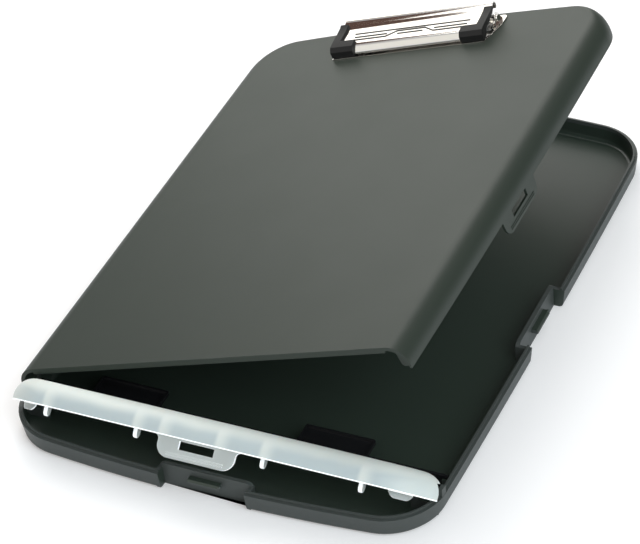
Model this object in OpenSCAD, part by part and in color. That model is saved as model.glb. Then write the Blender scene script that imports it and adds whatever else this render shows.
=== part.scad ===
// Storage clipboard box: a shallow tray with a side-hinged writing lid,
// a pen compartment under its own flap, and a sprung clip on the lid.
// Origin: centre of the tray's underside. X to the latch side, Y to the clip, Z up.
// The lid and the flap stand open at lid_open and flap_open.

/* [Body] */
// Width across the straight sides
body_w = 256; // [250:1:270]
// Length between the corner lines, without the bowed ends
body_l = 362; // [340:1:380]
// How far the front end bows out at its middle
front_bow = 8; // [4:0.5:10]
// How far the clip end bows out at its middle
back_bow = 4; // [2:0.5:6]
// How far the latch side bows out at its middle
side_bow = 2; // [1:0.5:3]
// Corner radius in plan
corner_r = 30; // [26:1:34]

/* [Tray] */
// Height of the tray's outer wall
tray_h = 12.2; // [11.8:0.1:12.4]
// Thickness of the tray's walls
tray_wall = 2.4; // [2:0.1:2.8]
// Thickness of the tray's floor
tray_floor = 2; // [1.6:0.1:2.4]
// Height of the locating lip above the wall
lip_h = 1.5; // [1:0.1:1.9]
// Thickness of the locating lip
lip_t = 1.1; // [0.9:0.1:1.3]
// Distance of the divider from the front corner line
divider_from_front = 42.6; // [40:0.5:48]
// Thickness of the divider
divider_t = 1.6; // [1.2:0.1:2]
// Height of the divider above the floor
divider_h = 9.6; // [8:0.1:10]
// Length of a hold-down tab
hold_w = 42; // [30:1:50]
// Reach of a hold-down tab over the paper
hold_reach = 14; // [10:1:18]

/* [Lid] */
// Height of the closed box
closed_h = 26.8; // [26.4:0.1:28.5]
// Thickness of the lid
lid_t = 2.2; // [1.8:0.1:2.4]
// Radius of the lid's edges
edge_r = 11.6; // [10:0.2:11.8]
// How far the lid's edge at the clip end leans in
back_lean = 4; // [3:0.5:8]
// Distance of the seam between flap and lid from the front corner line
seam_from_front = 30.2; // [28:0.2:32]
// How far the lid stands open
lid_open = 19; // [0:0.5:150]
// Height of a lid rib
rib_h = 8; // [6:0.5:9]

/* [Flap] */
// Thickness of the flap
flap_t = 1.5; // [1.2:0.1:1.6]
// Radius of the flap's rear edge, which turns about its hinge
flap_nose_r = 4.5; // [4.3:0.1:5]
// How far the flap stands open
flap_open = 47; // [0:1:90]
// How far the locating fingers reach below the flap's edge
finger_h = 5; // [3:0.5:5]

/* [Latches] */
// Width of the gap that each latch sits in
latch_gap_w = 52; // [50:1:56]
// Depth of that gap
latch_gap_d = 7; // [6.5:0.5:8]
// Width of a latch tab
latch_tab_w = 46; // [42:1:47]
// Thickness of a latch tab
latch_tab_t = 1.6; // [1.4:0.1:1.8]
// Length of a catch
catch_w = 19; // [16:1:22]
// Height of a catch
catch_h = 2.4; // [2:0.2:3]

/* [Lid hinge] */
// Radius of the hinge barrel
barrel_r = 3.2; // [3:0.1:3.4]
// Diameter of a hinge pin
pin_d = 2.5; // [2:0.1:3]
// Length of each group of barrels
barrel_len = 60; // [50:1:70]
// Distance of a barrel group's middle from the middle of the side
barrel_y = 92; // [80:1:100]

/* [Clip] */
// Width of the clip's base plate
clip_w = 118; // [112:1:124]
// Depth of the clip's base plate
clip_d = 27; // [26:0.5:28]
// Thickness of the clip's sheet steel
sheet_t = 0.8; // [0.7:0.1:1]
// Diameter of the clip's rod
rod_d = 2.8; // [2.4:0.1:3]
// Wire diameter of a clip spring
wire_d = 1; // [0.8:0.1:1.1]
// Distance between the two rivets
rivet_pitch = 68; // [60:1:72]
// Diameter of a rivet's shank
rivet_d = 3.8; // [3.2:0.2:4.2]

/* [Fits] */
// Gap between pieces that close against each other
seam_gap = 0.4; // [0.3:0.1:0.5]
// Gap between pieces that pass each other
pass_gap = 0.35; // [0.3:0.05:0.4]
// Radial clearance of a pin in its bore
pin_gap = 0.06; // [0.04:0.01:0.1]

/* [Hidden] */

charcoal = "#4b504d";
black = "#1c1d1e";
frosted = "#dde5e4";
steel = "#c9cacc";

corner_steps = 8;
side_steps = 10;
edge_steps = 6;
eps = 0.01;

front_line = -body_l / 2;
front_y = front_line - front_bow;
side_x = body_w / 2 + side_bow;
seam_y = front_line + seam_from_front;
divider_y = front_line + divider_from_front;
shell_z = tray_h + seam_gap;
edge_z = closed_h - edge_r;
lip_inset = tray_wall - lip_t + 0.3;
skirt_t = lip_inset - 0.3;

hinge_x = -body_w / 2 - 0.3;
hinge_z = tray_h + 0.5;
barrel_n = 5;
barrel_step = barrel_len / barrel_n;

flap_z = closed_h - flap_nose_r;
flap_y = seam_y - seam_gap - flap_nose_r;
post_x = 110.4 - 128 + body_w / 2;
post_t = 3.8;
post_r = flap_nose_r - flap_t - 0.5;
ear_x = post_x + post_t + pass_gap;
ear_t = 2.8;
stub_d = 2.6;

latch_tab_out = 1.1;
latch_z0 = 1.2;
catch_z = 7.9;
slot_h = catch_h + 2.2;

rod_y = 18.5;
rod_z = 4.2;
jaw_w = clip_w - 13;
clip_y = body_l / 2 - 30.5;
clip_x = -4;

// Plan outline of the body, inset by a distance, with its bowed sides
function arc_points(cx, cy, r, start) =
    [for (i = [0:corner_steps]) let (a = start + 90 * i / corner_steps)
        [cx + r * cos(a), cy + r * sin(a)]];
function between(a, b) = [for (i = [1:side_steps - 1]) a + (b - a) * i / side_steps];
function bowed(p, hw, hl) = [
    p.x + (p.x > 0 ? side_bow * (1 - pow(p.y / hl, 2)) * p.x / hw : 0),
    p.y + (p.y < 0 ? -front_bow : back_bow) * (1 - pow(p.x / hw, 2))];
function plan(inset) =
    let (hw = body_w / 2 - inset, hl = body_l / 2 - inset, r = corner_r - inset,
        cx = hw - r, cy = hl - r)
    [for (p = concat(
        arc_points(cx, -cy, r, -90), between([hw, -cy], [hw, cy]),
        arc_points(cx, cy, r, 0), between([cx, hl], [-cx, hl]),
        arc_points(-cx, cy, r, 90), between([-hw, cy], [-hw, -cy]),
        arc_points(-cx, -cy, r, 180), between([-cx, -hl], [cx, -hl])))
        bowed(p, hw, hl)];

module slice(inset, z, t = eps) {
    translate([0, 0, z]) linear_extrude(t) polygon(plan(inset));
}

// A shell above the parting line: rings of points from its lower edge to its top, outside
// and inside. From ring m upwards the rings also close across their open end.
module shell(outer, inner, m) {
    n = len(outer) - 1;
    k = len(outer[0]) - 1;
    h = k / 2;
    function o(i, j) = i * (k + 1) + j;
    function q(i, j) = (n + 1 + i) * (k + 1) + j;
    function quad(a, b, c, d) = [[a, b, c], [a, c, d]];
    polyhedron(
        points = concat([for (r = outer) each r], [for (r = inner) each r]),
        faces = concat(
            [for (i = [0:n - 1], j = [0:k - 1]) each quad(o(i, j), o(i + 1, j), o(i + 1, j + 1), o(i, j + 1))],
            [for (i = [0:n - 1], j = [0:k - 1]) each quad(q(i, j), q(i, j + 1), q(i + 1, j + 1), q(i + 1, j))],
            [for (j = [0:k - 1]) each quad(o(0, j), o(0, j + 1), q(0, j + 1), q(0, j))],
            [for (j = [0:h - 2]) each quad(o(n, k - j), o(n, k - j - 1), o(n, j + 1), o(n, j))],
            [for (j = [0:h - 2]) each quad(q(n, j), q(n, j + 1), q(n, k - j - 1), q(n, k - j))],
            [[o(n, h + 1), o(n, h), o(n, h - 1)], [q(n, h - 1), q(n, h), q(n, h + 1)]],
            [for (i = [0:m - 1]) each quad(o(i + 1, 0), o(i, 0), q(i, 0), q(i + 1, 0))],
            [for (i = [0:m - 1]) each quad(o(i, k), o(i + 1, k), q(i + 1, k), q(i, k))],
            [for (i = [m:1:n - 1]) if (m < n) each quad(o(i, k), o(i + 1, k), o(i + 1, 0), o(i, 0))],
            [for (i = [m:1:n - 1]) if (m < n) each quad(q(i, k), q(i, 0), q(i + 1, 0), q(i + 1, k))],
            quad(o(m, k), o(m, 0), q(m, 0), q(m, k))));
}
function at_z(points, z) = [for (p = points) [p.x, p.y, z]];
// Insets and heights of the rings: a skirt with a step for the tray's lip, then the rounded edge
function skirt(t, step_t) = [[step_t, shell_z], [step_t, shell_z + lip_h + 0.1], [t, shell_z + lip_h + 0.5]];
function edge(t, angles) = [for (a = angles)
    [t + (edge_r - t) * (1 - cos(a)), edge_z + (edge_r - t) * sin(a), t + (back_lean - t) * (1 - cos(a))]];
function steps(a, b, n) = [for (i = [0:n]) a + (b - a) * i / n];

// The lid's outline, from the right end of the seam round the clip end to its left end
function lid_ring(inset, back) =
    let (hw = body_w / 2 - inset, hl = body_l / 2 - back, r = corner_r - inset,
        cx = hw - r, cy = hl - r)
    [for (p = concat(
        [for (i = [0:5]) [hw, seam_y + (cy - seam_y) * i / 6]],
        arc_points(cx, cy, r, 0), [for (i = [1:7]) [cx - 2 * cx * i / 8, hl]],
        arc_points(-cx, cy, r, 90),
        [for (i = [1:6]) [-hw, cy + (seam_y - cy) * i / 6]]))
        bowed(p, hw, hl)];
module lid_shell() {
    angles = steps(0, 90, edge_steps);
    function ring(p) = at_z(lid_ring(p.x, len(p) > 2 ? p.z : p.x), p.y);
    shell([for (p = concat(skirt(0, 0), edge(0, angles))) ring(p)],
        [for (p = concat(skirt(lid_t, skirt_t), edge(lid_t, angles))) ring(p)],
        2 + len(angles));
}

// The flap's outline, from the left end of its rear edge round the front to its right end
function flap_ring(inset, rear) =
    let (hw = body_w / 2 - inset, hl = body_l / 2 - inset, r = corner_r - inset,
        cx = hw - r, cy = hl - r, a0 = asin((rear + cy) / r), n = 2 * corner_steps + 8,
        raw = concat(
            [for (a = steps(180 - a0, 270, corner_steps)) [-cx + r * cos(a), -cy + r * sin(a)]],
            [for (i = [1:side_steps - 1]) [-cx + 2 * cx * i / side_steps, -hl]],
            [for (a = steps(270, 360 + a0, corner_steps)) [cx + r * cos(a), -cy + r * sin(a)]]),
        last = len(raw) - 1)
    [for (i = [0:last]) let (b = bowed(raw[i], hw, hl)) (i == 0 || i == last) ? [b.x, rear] : b];
// The rear edge is rounded about the hinge line down to the hinge's height
function flap_rear(z, r) = z < flap_z - 0.01 ? flap_y : flap_y + sqrt(max(0, r * r - pow(z - flap_z, 2)));
function flap_angles(r) = let (low = asin((flap_z - 0.3 - edge_z) / r), mid = asin((flap_z - edge_z) / r))
    concat(steps(0, low, 3), steps(mid, 90, 5));
module flap_shell() {
    shell([for (p = concat(skirt(0, 0), edge(0, flap_angles(edge_r))))
            at_z(flap_ring(p.x, flap_rear(p.y, flap_nose_r)), p.y)],
        [for (p = concat(skirt(flap_t, skirt_t), edge(flap_t, flap_angles(edge_r - flap_t))))
            at_z(flap_ring(p.x, flap_rear(p.y, flap_nose_r - flap_t)), p.y)],
        3 + 4);
}

// A rib inside a shell, drawn from the outer face inwards. It ends in a finger below its edge,
// or at start where there is no tip, and it stays clear of the tray's lip
module rib(t, start, tip = 0, lean = edge_r) {
    r = edge_r - 0.6 * t;
    w = lean - 0.6 * t;
    low = max(start, shell_z + lip_h + 0.4);
    rotate([90, 0, 90]) translate([0, 0, -0.7]) linear_extrude(1.4) polygon(concat(
        [[0.6 * t, low]],
        [for (a = [0:15:75]) [0.6 * t + w * (1 - cos(a)), edge_z + r * sin(a)]],
        [[edge_r + 0.4, edge_z + r * sin(75)], [9.8, edge_z + 3.4], [9.4, start]],
        tip > 0 ? [[8.3, tip], [6, tip + 0.3]] : [], [[4.4, start], [3.9, low]]));
}

module x_rod(r, x0, x1, y, z, fn = 48) {
    translate([x0, y, z]) rotate([0, 90, 0]) cylinder(r = r, h = x1 - x0, $fn = fn);
}

module y_rod(r, y0, y1, x, z, fn = 48) {
    translate([x, y0, z]) rotate([-90, 0, 0]) cylinder(r = r, h = y1 - y0, $fn = fn);
}

module box(x, y, z) {
    translate([x[0], y[0], z[0]]) cube([x[1] - x[0], y[1] - y[0], z[1] - z[0]]);
}

// Puts a latch piece that is drawn for the front end onto the latch side
module on_side() { translate([0, 0, 0]) rotate([0, 0, 90]) children(); }

module lid_pose() {
    translate([hinge_x, 0, hinge_z]) rotate([0, -lid_open, 0])
        translate([-hinge_x, 0, -hinge_z]) children();
}

module flap_pose() {
    translate([0, flap_y, flap_z]) rotate([-flap_open, 0, 0])
        translate([0, -flap_y, -flap_z]) children();
}

// One barrel of the lid hinge; even ones belong to the tray, odd ones to the lid
module barrels(first, r, extra = 0) {
    for (side = [-1, 1], i = [first:2:barrel_n - 1])
        let (y0 = side * barrel_y - barrel_len / 2 + i * barrel_step)
            y_rod(r, y0 + pass_gap / 2 - extra, y0 + barrel_step - pass_gap / 2 + extra,
                hinge_x, hinge_z);
}

module barrel_bores() {
    for (side = [-1, 1])
        y_rod(pin_d / 2 + pin_gap, side * barrel_y - barrel_len / 2 - 1,
            side * barrel_y + barrel_len / 2 + 1, hinge_x, hinge_z);
}

// A latch tab's outline, hanging below the parting line, with its slot
module tab_face() {
    r = 7;
    top = shell_z + 3.6;
    flare = (latch_gap_w - latch_tab_w) / 2 - 0.4;
    difference() {
        union() {
            translate([-latch_tab_w / 2, latch_z0 + r]) square([latch_tab_w, top - latch_z0 - r]);
            translate([-latch_tab_w / 2 + r, latch_z0]) square([latch_tab_w - 2 * r, r + eps]);
            for (s = [-1, 1]) translate([s * (latch_tab_w / 2 - r), latch_z0 + r])
                circle(r, $fn = 40);
            translate([-latch_tab_w / 2 - flare, shell_z - 0.1]) square([latch_tab_w + 2 * flare, 3.7]);
            for (s = [-1, 1]) translate([s * latch_tab_w / 2, shell_z]) mirror([s < 0 ? 1 : 0, 0, 0])
                difference() {
                    translate([-eps, -flare]) square([flare + eps, flare]);
                    translate([flare, -flare]) circle(flare, $fn = 48);
                }
        }
        translate([-catch_w / 2 - 0.9, catch_z - (slot_h - catch_h) / 2])
            square([catch_w + 1.8, slot_h]);
    }
}

// The latch tab stands just inside the outer face; face is that outer face's place
module latch_tab(face) {
    translate([0, -face + latch_tab_out + latch_tab_t, 0]) rotate([90, 0, 0])
        linear_extrude(latch_tab_t) tab_face();
}

// The set-back wall behind a latch, with rounded top corners and its two side returns
module latch_wall(face) {
    w = latch_gap_w / 2 + tray_wall;
    top = tray_h + lip_h + 0.9;
    r = 4;
    back = -face + latch_gap_d + tray_wall;
    translate([0, back, 0]) rotate([90, 0, 0]) linear_extrude(tray_wall) union() {
        translate([-w, 0]) square([2 * w, top - r]);
        translate([-w + r, 0]) square([2 * w - 2 * r, top]);
        for (s = [-1, 1]) translate([s * (w - r), top - r]) circle(r, $fn = 32);
    }
    for (s = [-1, 1])
        box(s > 0 ? [w - tray_wall, w] : [-w, -w + tray_wall],
            [-face + 2.2, back], [0.6, tray_h]);
}

module latch_gap(face) {
    box([-latch_gap_w / 2, latch_gap_w / 2], [-face - 5, -face + latch_gap_d], [-1, 40]);
}

// The catch ledge with its small detent nub
module latch_catch(face) {
    reach = latch_gap_d - latch_tab_out - latch_tab_t - pass_gap;
    y1 = -face + latch_gap_d;
    box([-catch_w / 2, catch_w / 2], [y1 - reach, y1 + 0.5], [catch_z, catch_z + catch_h]);
    translate([catch_w / 2 - 0.2, y1 - reach + 1.2, catch_z + catch_h / 2 + 0.3])
        sphere(r = 1.2, $fn = 20);
}

module tray() color(charcoal) {
    difference() {
        union() {
            difference() {
                hull() {
                    slice(4.4, 0);
                    slice(2.6, 0.7);
                    slice(1.3, 2.6);
                    slice(0, tray_h - eps);
                }
                hull() {
                    slice(tray_wall + 3.2, tray_floor);
                    slice(tray_wall + 1.4, tray_floor + 1.6);
                    slice(tray_wall, tray_h);
                }
            }
            difference() {
                slice(lip_inset, tray_h - 1.2, lip_h + 1.2);
                slice(lip_inset + lip_t, tray_h - 2, lip_h + 4);
                box([-body_w, hinge_x + 8], [-body_l, body_l], [0, 40]);
                box([-40, 40], [0, body_l], [tray_h + 0.6, 40]);
            }
            intersection() {
                difference() {
                    slice(0.15, tray_h - 1, flap_z - tray_h);
                    slice(tray_wall, tray_h - 2, 20);
                }
                for (s = [-1, 1]) box(s > 0 ? [100, 150] : [-150, -100],
                    [flap_y + pass_gap, seam_y - 0.2], [0, flap_z - flap_nose_r - pass_gap]);
            }
            latch_wall(-front_y);
            on_side() latch_wall(side_x);
            hinge_posts();
            divider_guides();
            barrels(0, barrel_r);
        }
        latch_gap(-front_y);
        on_side() latch_gap(side_x);
        barrels(1, barrel_r + pass_gap, pass_gap / 2);
        barrel_bores();
        x_rod(stub_d / 2 + pin_gap, -post_x - post_t - 1, -post_x + 1, flap_y, flap_z);
        x_rod(stub_d / 2 + pin_gap, post_x - 1, post_x + post_t + 1, flap_y, flap_z);
    }
    latch_catch(-front_y);
    on_side() latch_catch(side_x);
}

// Posts that carry the flap's stubs, tied to the side walls by a low rib
module hinge_posts() {
    for (s = [-1, 1]) mirror([s < 0 ? 1 : 0, 0, 0]) {
        x_rod(post_r, post_x, post_x + post_t, flap_y, flap_z);
        box([post_x, post_x + post_t], [flap_y - post_r, flap_y - 0.6], [1, flap_z]);
        box([post_x, body_w / 2 - 2], [flap_y - post_r, flap_y - 0.9], [1, 9]);
    }
}

// Pairs of ribs on the side walls that hold the divider's ends
module divider_guides() {
    for (s = [-1, 1], k = [-1, 1]) mirror([s < 0 ? 1 : 0, 0, 0])
        translate([body_w / 2 - 6.5, divider_y + k * (divider_t / 2 + 0.9) - 0.6, 1])
            cube([5, 1.2, divider_h - 0.8]);
}

// Divider between pens and paper, with two hold-down tabs over the paper
module divider() color(black) {
    z0 = tray_floor + 0.05;
    half = body_w / 2 - tray_wall - 1.1;
    difference() {
        box([-half, half], [divider_y - divider_t / 2, divider_y + divider_t / 2],
            [z0, z0 + divider_h]);
        for (s = [-1, 1]) translate([s * half, divider_y, z0]) rotate([90, 0, 0])
            cylinder(r = 4.4, h = 4 * divider_t, center = true, $fn = 4);
    }
    for (x0 = [-92, 34.6] * body_w / 256) translate([x0, divider_y, z0 + divider_h]) {
        difference() {
            translate([0, -divider_t / 2, -2]) cube([hold_w, hold_reach + divider_t / 2, 2]);
            translate([1.4, 0.6, -1]) cube([hold_w - 2.8, hold_reach - 2, 2]);
        }
        for (x = [6, hold_w - 7.2])
            translate([x, 0, -divider_h + 2.4]) rotate([90, 0, 90]) linear_extrude(1.2)
                polygon([[0, divider_h - 4.4], [3, divider_h - 4.4], [0, divider_h - 7.4]]);
    }
    box([-half + 6, half - 6], [divider_y - 4.4, divider_y], [z0, z0 + 1.2]);
}

module lid() color(charcoal) lid_pose() difference() {
    union() {
        lid_shell();
        box([-body_w / 2 + edge_r, body_w / 2 - edge_r], [seam_y + 0.3, seam_y + 1.9],
            [closed_h - lid_t - 1.6, closed_h - lid_t + 0.5]);
        on_side() latch_tab(side_x);
        for (y = side_ribs())
            translate([body_w / 2 + side_bow * (1 - pow(2 * y / body_l, 2)), y, 0])
                rotate([0, 0, 90]) rib(lid_t, shell_z + lip_h + 0.4, shell_z - 2.4);
        for (x = rear_ribs())
            translate([x, -front_line + back_bow * (1 - pow(2 * x / body_w, 2)), 0])
                rotate([0, 0, 180]) rib(lid_t, shell_z + lip_h + 0.4, shell_z - 2.4, back_lean);
        barrels(1, barrel_r);
        for (side = [-1, 1], i = [1:2:barrel_n - 1])
            let (y0 = side * barrel_y - barrel_len / 2 + i * barrel_step)
                box([hinge_x - 1.6, hinge_x + 1.6], [y0 + pass_gap / 2, y0 + barrel_step - pass_gap / 2],
                    [hinge_z, hinge_z + 4.2]);
    }
    barrels(0, barrel_r + pass_gap, pass_gap / 2);
    barrel_bores();
    clip_place() rivet_bores();
}
function side_ribs() = [front_line + 36, -49, 49, -front_line - 36];
function rear_ribs() = [-84, -28, 28, 84];

// The flap's ribs stand at these places along its front
function flap_ribs() = [-96, -39, -23, 11, 37, 93];

// Ear that turns on a post, with its stub
module flap_ear() {
    x_rod(flap_nose_r - 0.2, ear_x, ear_x + ear_t, flap_y, flap_z);
    x_rod(3.6, ear_x, ear_x + ear_t, flap_y + 2.2, flap_z - 2.9);
    x_rod(stub_d / 2, ear_x - post_t, ear_x + 1, flap_y, flap_z);
}

module pen_flap() color(frosted) flap_pose() {
    flap_shell();
    for (s = [0, 1]) mirror([s, 0, 0]) flap_ear();
    latch_tab(-front_y);
    for (x = flap_ribs())
        translate([x, front_line - front_bow * (1 - pow(2 * x / body_w, 2)), 0])
            if (abs(x) > latch_gap_w / 2 + tray_wall + 1) rib(flap_t, shell_z + 0.1, shell_z - finger_h);
            else rib(flap_t, shell_z + lip_h + 1);
}

module front_hinge_pin() hinge_pin(-1);
module rear_hinge_pin() hinge_pin(1);
module hinge_pin(side) color(steel)
    y_rod(pin_d / 2, side * barrel_y - barrel_len / 2 + 0.6, side * barrel_y + barrel_len / 2 - 0.6,
        hinge_x, hinge_z);

// Puts a clip piece, drawn from the clip's front edge, onto the open lid
module clip_place() { translate([clip_x, clip_y, closed_h]) children(); }
module on_lid() { lid_pose() clip_place() children(); }

module rivet_bores() {
    for (s = [-1, 1]) translate([s * rivet_pitch / 2, rivet_y, -lid_t - 2])
        cylinder(d = rivet_d + 2 * pin_gap, h = lid_t + 4, $fn = 32);
}

module clip_base() color(steel) on_lid() difference() {
    union() {
        linear_extrude(sheet_t) polygon([
            [-clip_w / 2 + 5, 0], [clip_w / 2 - 5, 0], [clip_w / 2, 16],
            [clip_w / 2, clip_d - 3], [clip_w / 2 - 3, clip_d],
            [-clip_w / 2 + 3, clip_d], [-clip_w / 2, clip_d - 3], [-clip_w / 2, 16]]);
        for (s = [-1, 1]) translate([s * (clip_w / 2 - 3) - sheet_t / 2, 0, 0])
            rotate([90, 0, 90]) linear_extrude(sheet_t) union() {
                translate([rod_y, rod_z]) circle(rod_d / 2 + 2, $fn = 40);
                polygon([[rod_y - 6, 0], [rod_y + 6, 0], [rod_y + rod_d / 2 + 1.9, rod_z],
                    [rod_y - rod_d / 2 - 1.9, rod_z]]);
            }
    }
    x_rod(rod_d / 2 + pin_gap, -clip_w, clip_w, rod_y, rod_z);
    rivet_bores();
}

// Bent sheet: a path of [y, z] points given thickness t and extruded along X
function path_normal(p, i) = let (n = len(p),
    a = p[max(i - 1, 0)], b = p[min(i + 1, n - 1)], d = (b - a) / norm(b - a)) [-d.y, d.x];
function sheet_outline(p, t) = concat(p,
    [for (i = [len(p) - 1:-1:0]) p[i] + t * path_normal(p, i)]);

roll_r = 2;
roll_c = [26.5, 8.2];
function jaw_path() = concat(
    [[1, 1.8], [1.4, 3.6], [3, 5.4], [6.2, 6.3], [13.5, 7.1], [18, 7.6], [22, 8.8]],
    [for (a = [135:-22.5:-67.5]) roll_c + roll_r * [cos(a), sin(a)]]);
module jaw_cheek() {
    translate([rod_y, rod_z]) circle(rod_d / 2 + 1.6, $fn = 40);
    polygon([[10, 6.8], [rod_y - rod_d / 2 - 1.6, rod_z], [rod_y + rod_d / 2 + 1.6, rod_z],
        [24.4, 9.6], [22, 9], [18, 7.9], [13.5, 7.4]]);
}

module along_x(w) { translate([-w / 2, 0, 0]) rotate([90, 0, 90]) linear_extrude(w) children(); }

module clip_jaw() color(steel) on_lid() difference() {
    union() {
        along_x(jaw_w) polygon(sheet_outline(jaw_path(), sheet_t));
        for (s = [-1, 1]) translate([s * (jaw_w / 2 - sheet_t / 2), 0, 0]) along_x(sheet_t) jaw_cheek();
        translate([0, 6.2, 6.3 + sheet_t - 0.1]) rotate([6.2, 0, 0]) embossing();
    }
    x_rod(rod_d / 2 + pin_gap, -clip_w, clip_w, rod_y, rod_z);
}

// Plain pressed ridges: a raised field in the middle and a ridge on either side
module embossing() {
    linear_extrude(0.6) difference() {
        polygon([[-19, 0.8], [-13, 6.2], [13, 6.2], [19, 0.8]]);
        polygon([[-15.6, 1.7], [-12.1, 5.3], [12.1, 5.3], [15.6, 1.7]]);
    }
    for (s = [-1, 1]) mirror([s < 0 ? 1 : 0, 0, 0])
        linear_extrude(0.5) polygon([[22, 2.6], [23, 4], [33, 4], [34, 2.6]]);
}

module clip_rod() color(steel) on_lid() {
    half = clip_w / 2 - 3 + sheet_t / 2 + 0.1;
    x_rod(rod_d / 2, -half - 0.4, half + 0.4, rod_y, rod_z);
    for (s = [-1, 1]) x_rod(rod_d / 2 + 0.9, s * (half + 0.4) - 0.4, s * (half + 0.4) + 0.4, rod_y, rod_z);
}

// A torsion spring's centre line: front leg, turns about the rod, rear leg
spring_turns = 5;
spring_r = rod_d / 2 + wire_d / 2 + 0.3;
spring_pitch = wire_d + 0.15;
turn_steps = 14;
function spring_line() = concat(
    [[0, -7, -spring_r], [0, -3, -spring_r]],
    [for (i = [0:spring_turns * turn_steps + turn_steps / 4]) let (a = -90 + 360 * i / turn_steps)
        [spring_pitch * i / turn_steps, spring_r * cos(a), spring_r * sin(a)]],
    [let (x = spring_pitch * (spring_turns + 0.25)) [x, spring_r + 0.2, 1.2]]);
function unit(v) = v / norm(v);
function ring(p, i, r, n) = let (m = len(p),
    d = unit(p[min(i + 1, m - 1)] - p[max(i - 1, 0)]),
    u = unit(cross(d, [0.9, 0.1, 0.3])), v = cross(d, u))
    [for (k = [0:n - 1]) let (a = 360 * k / n) p[i] + r * (cos(a) * u + sin(a) * v)];
module wire(p, r, n = 6) {
    m = len(p);
    polyhedron(
        points = [for (i = [0:m - 1]) each ring(p, i, r, n)],
        faces = concat(
            [[for (k = [0:n - 1]) k], [for (k = [n - 1:-1:0]) (m - 1) * n + k]],
            [for (i = [0:m - 2], k = [0:n - 1]) let (l = (k + 1) % n, a = i * n, b = a + n)
                each [[a + k, b + k, b + l], [a + k, b + l, a + l]]]));
}
module spring_at(x) { translate([x, rod_y, rod_z]) wire(spring_line(), wire_d / 2); }
module left_spring() color(steel) on_lid() spring_at(-jaw_w / 2 + 2);
module right_spring() color(steel) on_lid() mirror([1, 0, 0]) spring_at(-jaw_w / 2 + 2);

// Rubber grip over a front corner of the jaw, an L in plan
module grip() {
    front = [[-0.9, 1.1], [-0.9, 5], [1.2, 7.6], [6, 8.6], [6.6, 8.6], [6.6, 5], [3.8, 4], [3.2, 1.1]];
    side = [[-0.9, 1.1], [-0.9, 5], [1.2, 7.6], [6, 8.6], [13.5, 9.4], [18.6, 10.2],
        [21.4, 11.2], [22, 9.2], [18.2, 7.5], [14, 6.4], [6.6, 4.6], [3.2, 1.1]];
    translate([-jaw_w / 2 - 1.6, 0, 0]) rotate([90, 0, 90]) linear_extrude(16) polygon(front);
    translate([-jaw_w / 2 - 1.6, 0, 0]) rotate([90, 0, 90]) linear_extrude(5.4) polygon(side);
}
module corner_grip() difference() {
    grip();
    along_x(jaw_w + 0.04) polygon(sheet_outline(jaw_path(), sheet_t));
    for (s = [-1, 1]) translate([s * (jaw_w / 2 - sheet_t / 2), 0, 0]) along_x(sheet_t + 0.04) jaw_cheek();
}
module left_grip() color(black) on_lid() corner_grip();
module right_grip() color(black) on_lid() mirror([1, 0, 0]) corner_grip();

rivet_y = 9;
module rivet() {
    translate([0, 0, sheet_t]) cylinder(r1 = rivet_d / 2 + 1.5, r2 = rivet_d / 2 + 0.6, h = 0.9, $fn = 32);
    translate([0, 0, -lid_t - sheet_t - 0.5]) cylinder(d = rivet_d, h = lid_t + 2 * sheet_t + 0.6, $fn = 32);
    translate([0, 0, -lid_t - sheet_t - 0.7]) cylinder(r = rivet_d / 2 + 1, h = 0.7, $fn = 32);
}
module washer() translate([0, 0, -lid_t - sheet_t]) difference() {
    cylinder(r = rivet_d / 2 + 3.2, h = sheet_t, $fn = 40);
    translate([0, 0, -1]) cylinder(d = rivet_d + 2 * pin_gap, h = 4, $fn = 32);
}
module left_rivet() color(steel) on_lid() translate([-rivet_pitch / 2, rivet_y, 0]) rivet();
module right_rivet() color(steel) on_lid() translate([rivet_pitch / 2, rivet_y, 0]) rivet();
module left_washer() color(steel) on_lid() translate([-rivet_pitch / 2, rivet_y, 0]) washer();
module right_washer() color(steel) on_lid() translate([rivet_pitch / 2, rivet_y, 0]) washer();

tray();
divider();
lid();
pen_flap();
front_hinge_pin();
rear_hinge_pin();
clip_base();
clip_jaw();
clip_rod();
left_spring();
right_spring();
left_grip();
right_grip();
left_rivet();
right_rivet();
left_washer();
right_washer();
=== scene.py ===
"""Dresses the storage clipboard box: moulded shells, frosted flap, plated clip, plain studio."""

import math

import bmesh
import bpy
from mathutils import Matrix, Vector


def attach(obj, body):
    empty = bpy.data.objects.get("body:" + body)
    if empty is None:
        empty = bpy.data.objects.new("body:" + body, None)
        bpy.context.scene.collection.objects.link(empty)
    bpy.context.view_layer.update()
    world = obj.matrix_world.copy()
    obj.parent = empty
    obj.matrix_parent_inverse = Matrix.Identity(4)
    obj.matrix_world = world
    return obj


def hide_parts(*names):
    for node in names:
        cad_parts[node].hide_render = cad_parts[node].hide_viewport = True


bl_info = {
    "name": "Storage Clipboard Box",
    "version": (1, 0, 0),
    "blender": (4, 5, 0),
    "location": "View3D > Sidebar > Clipboard Box",
    "description": "Builds the finished pieces of a storage clipboard box around its CAD frame",
    "category": "Object",
}

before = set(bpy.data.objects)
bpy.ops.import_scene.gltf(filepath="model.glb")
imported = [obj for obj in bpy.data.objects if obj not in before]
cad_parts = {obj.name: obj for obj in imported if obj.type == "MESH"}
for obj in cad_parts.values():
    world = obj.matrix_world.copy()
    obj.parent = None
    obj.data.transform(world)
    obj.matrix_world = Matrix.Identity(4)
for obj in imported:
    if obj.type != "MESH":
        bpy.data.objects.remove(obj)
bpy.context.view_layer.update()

# Sizes in millimetres, closed, from the centre of the tray's underside
BODY_W, BODY_L = 256.0, 362.0
FRONT_BOW, BACK_BOW, SIDE_BOW = 8.0, 4.0, 2.0
CORNER_R = 30.0
FRONT_LINE = -BODY_L / 2
FRONT_Y = FRONT_LINE - FRONT_BOW
SIDE_X = BODY_W / 2 + SIDE_BOW

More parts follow.
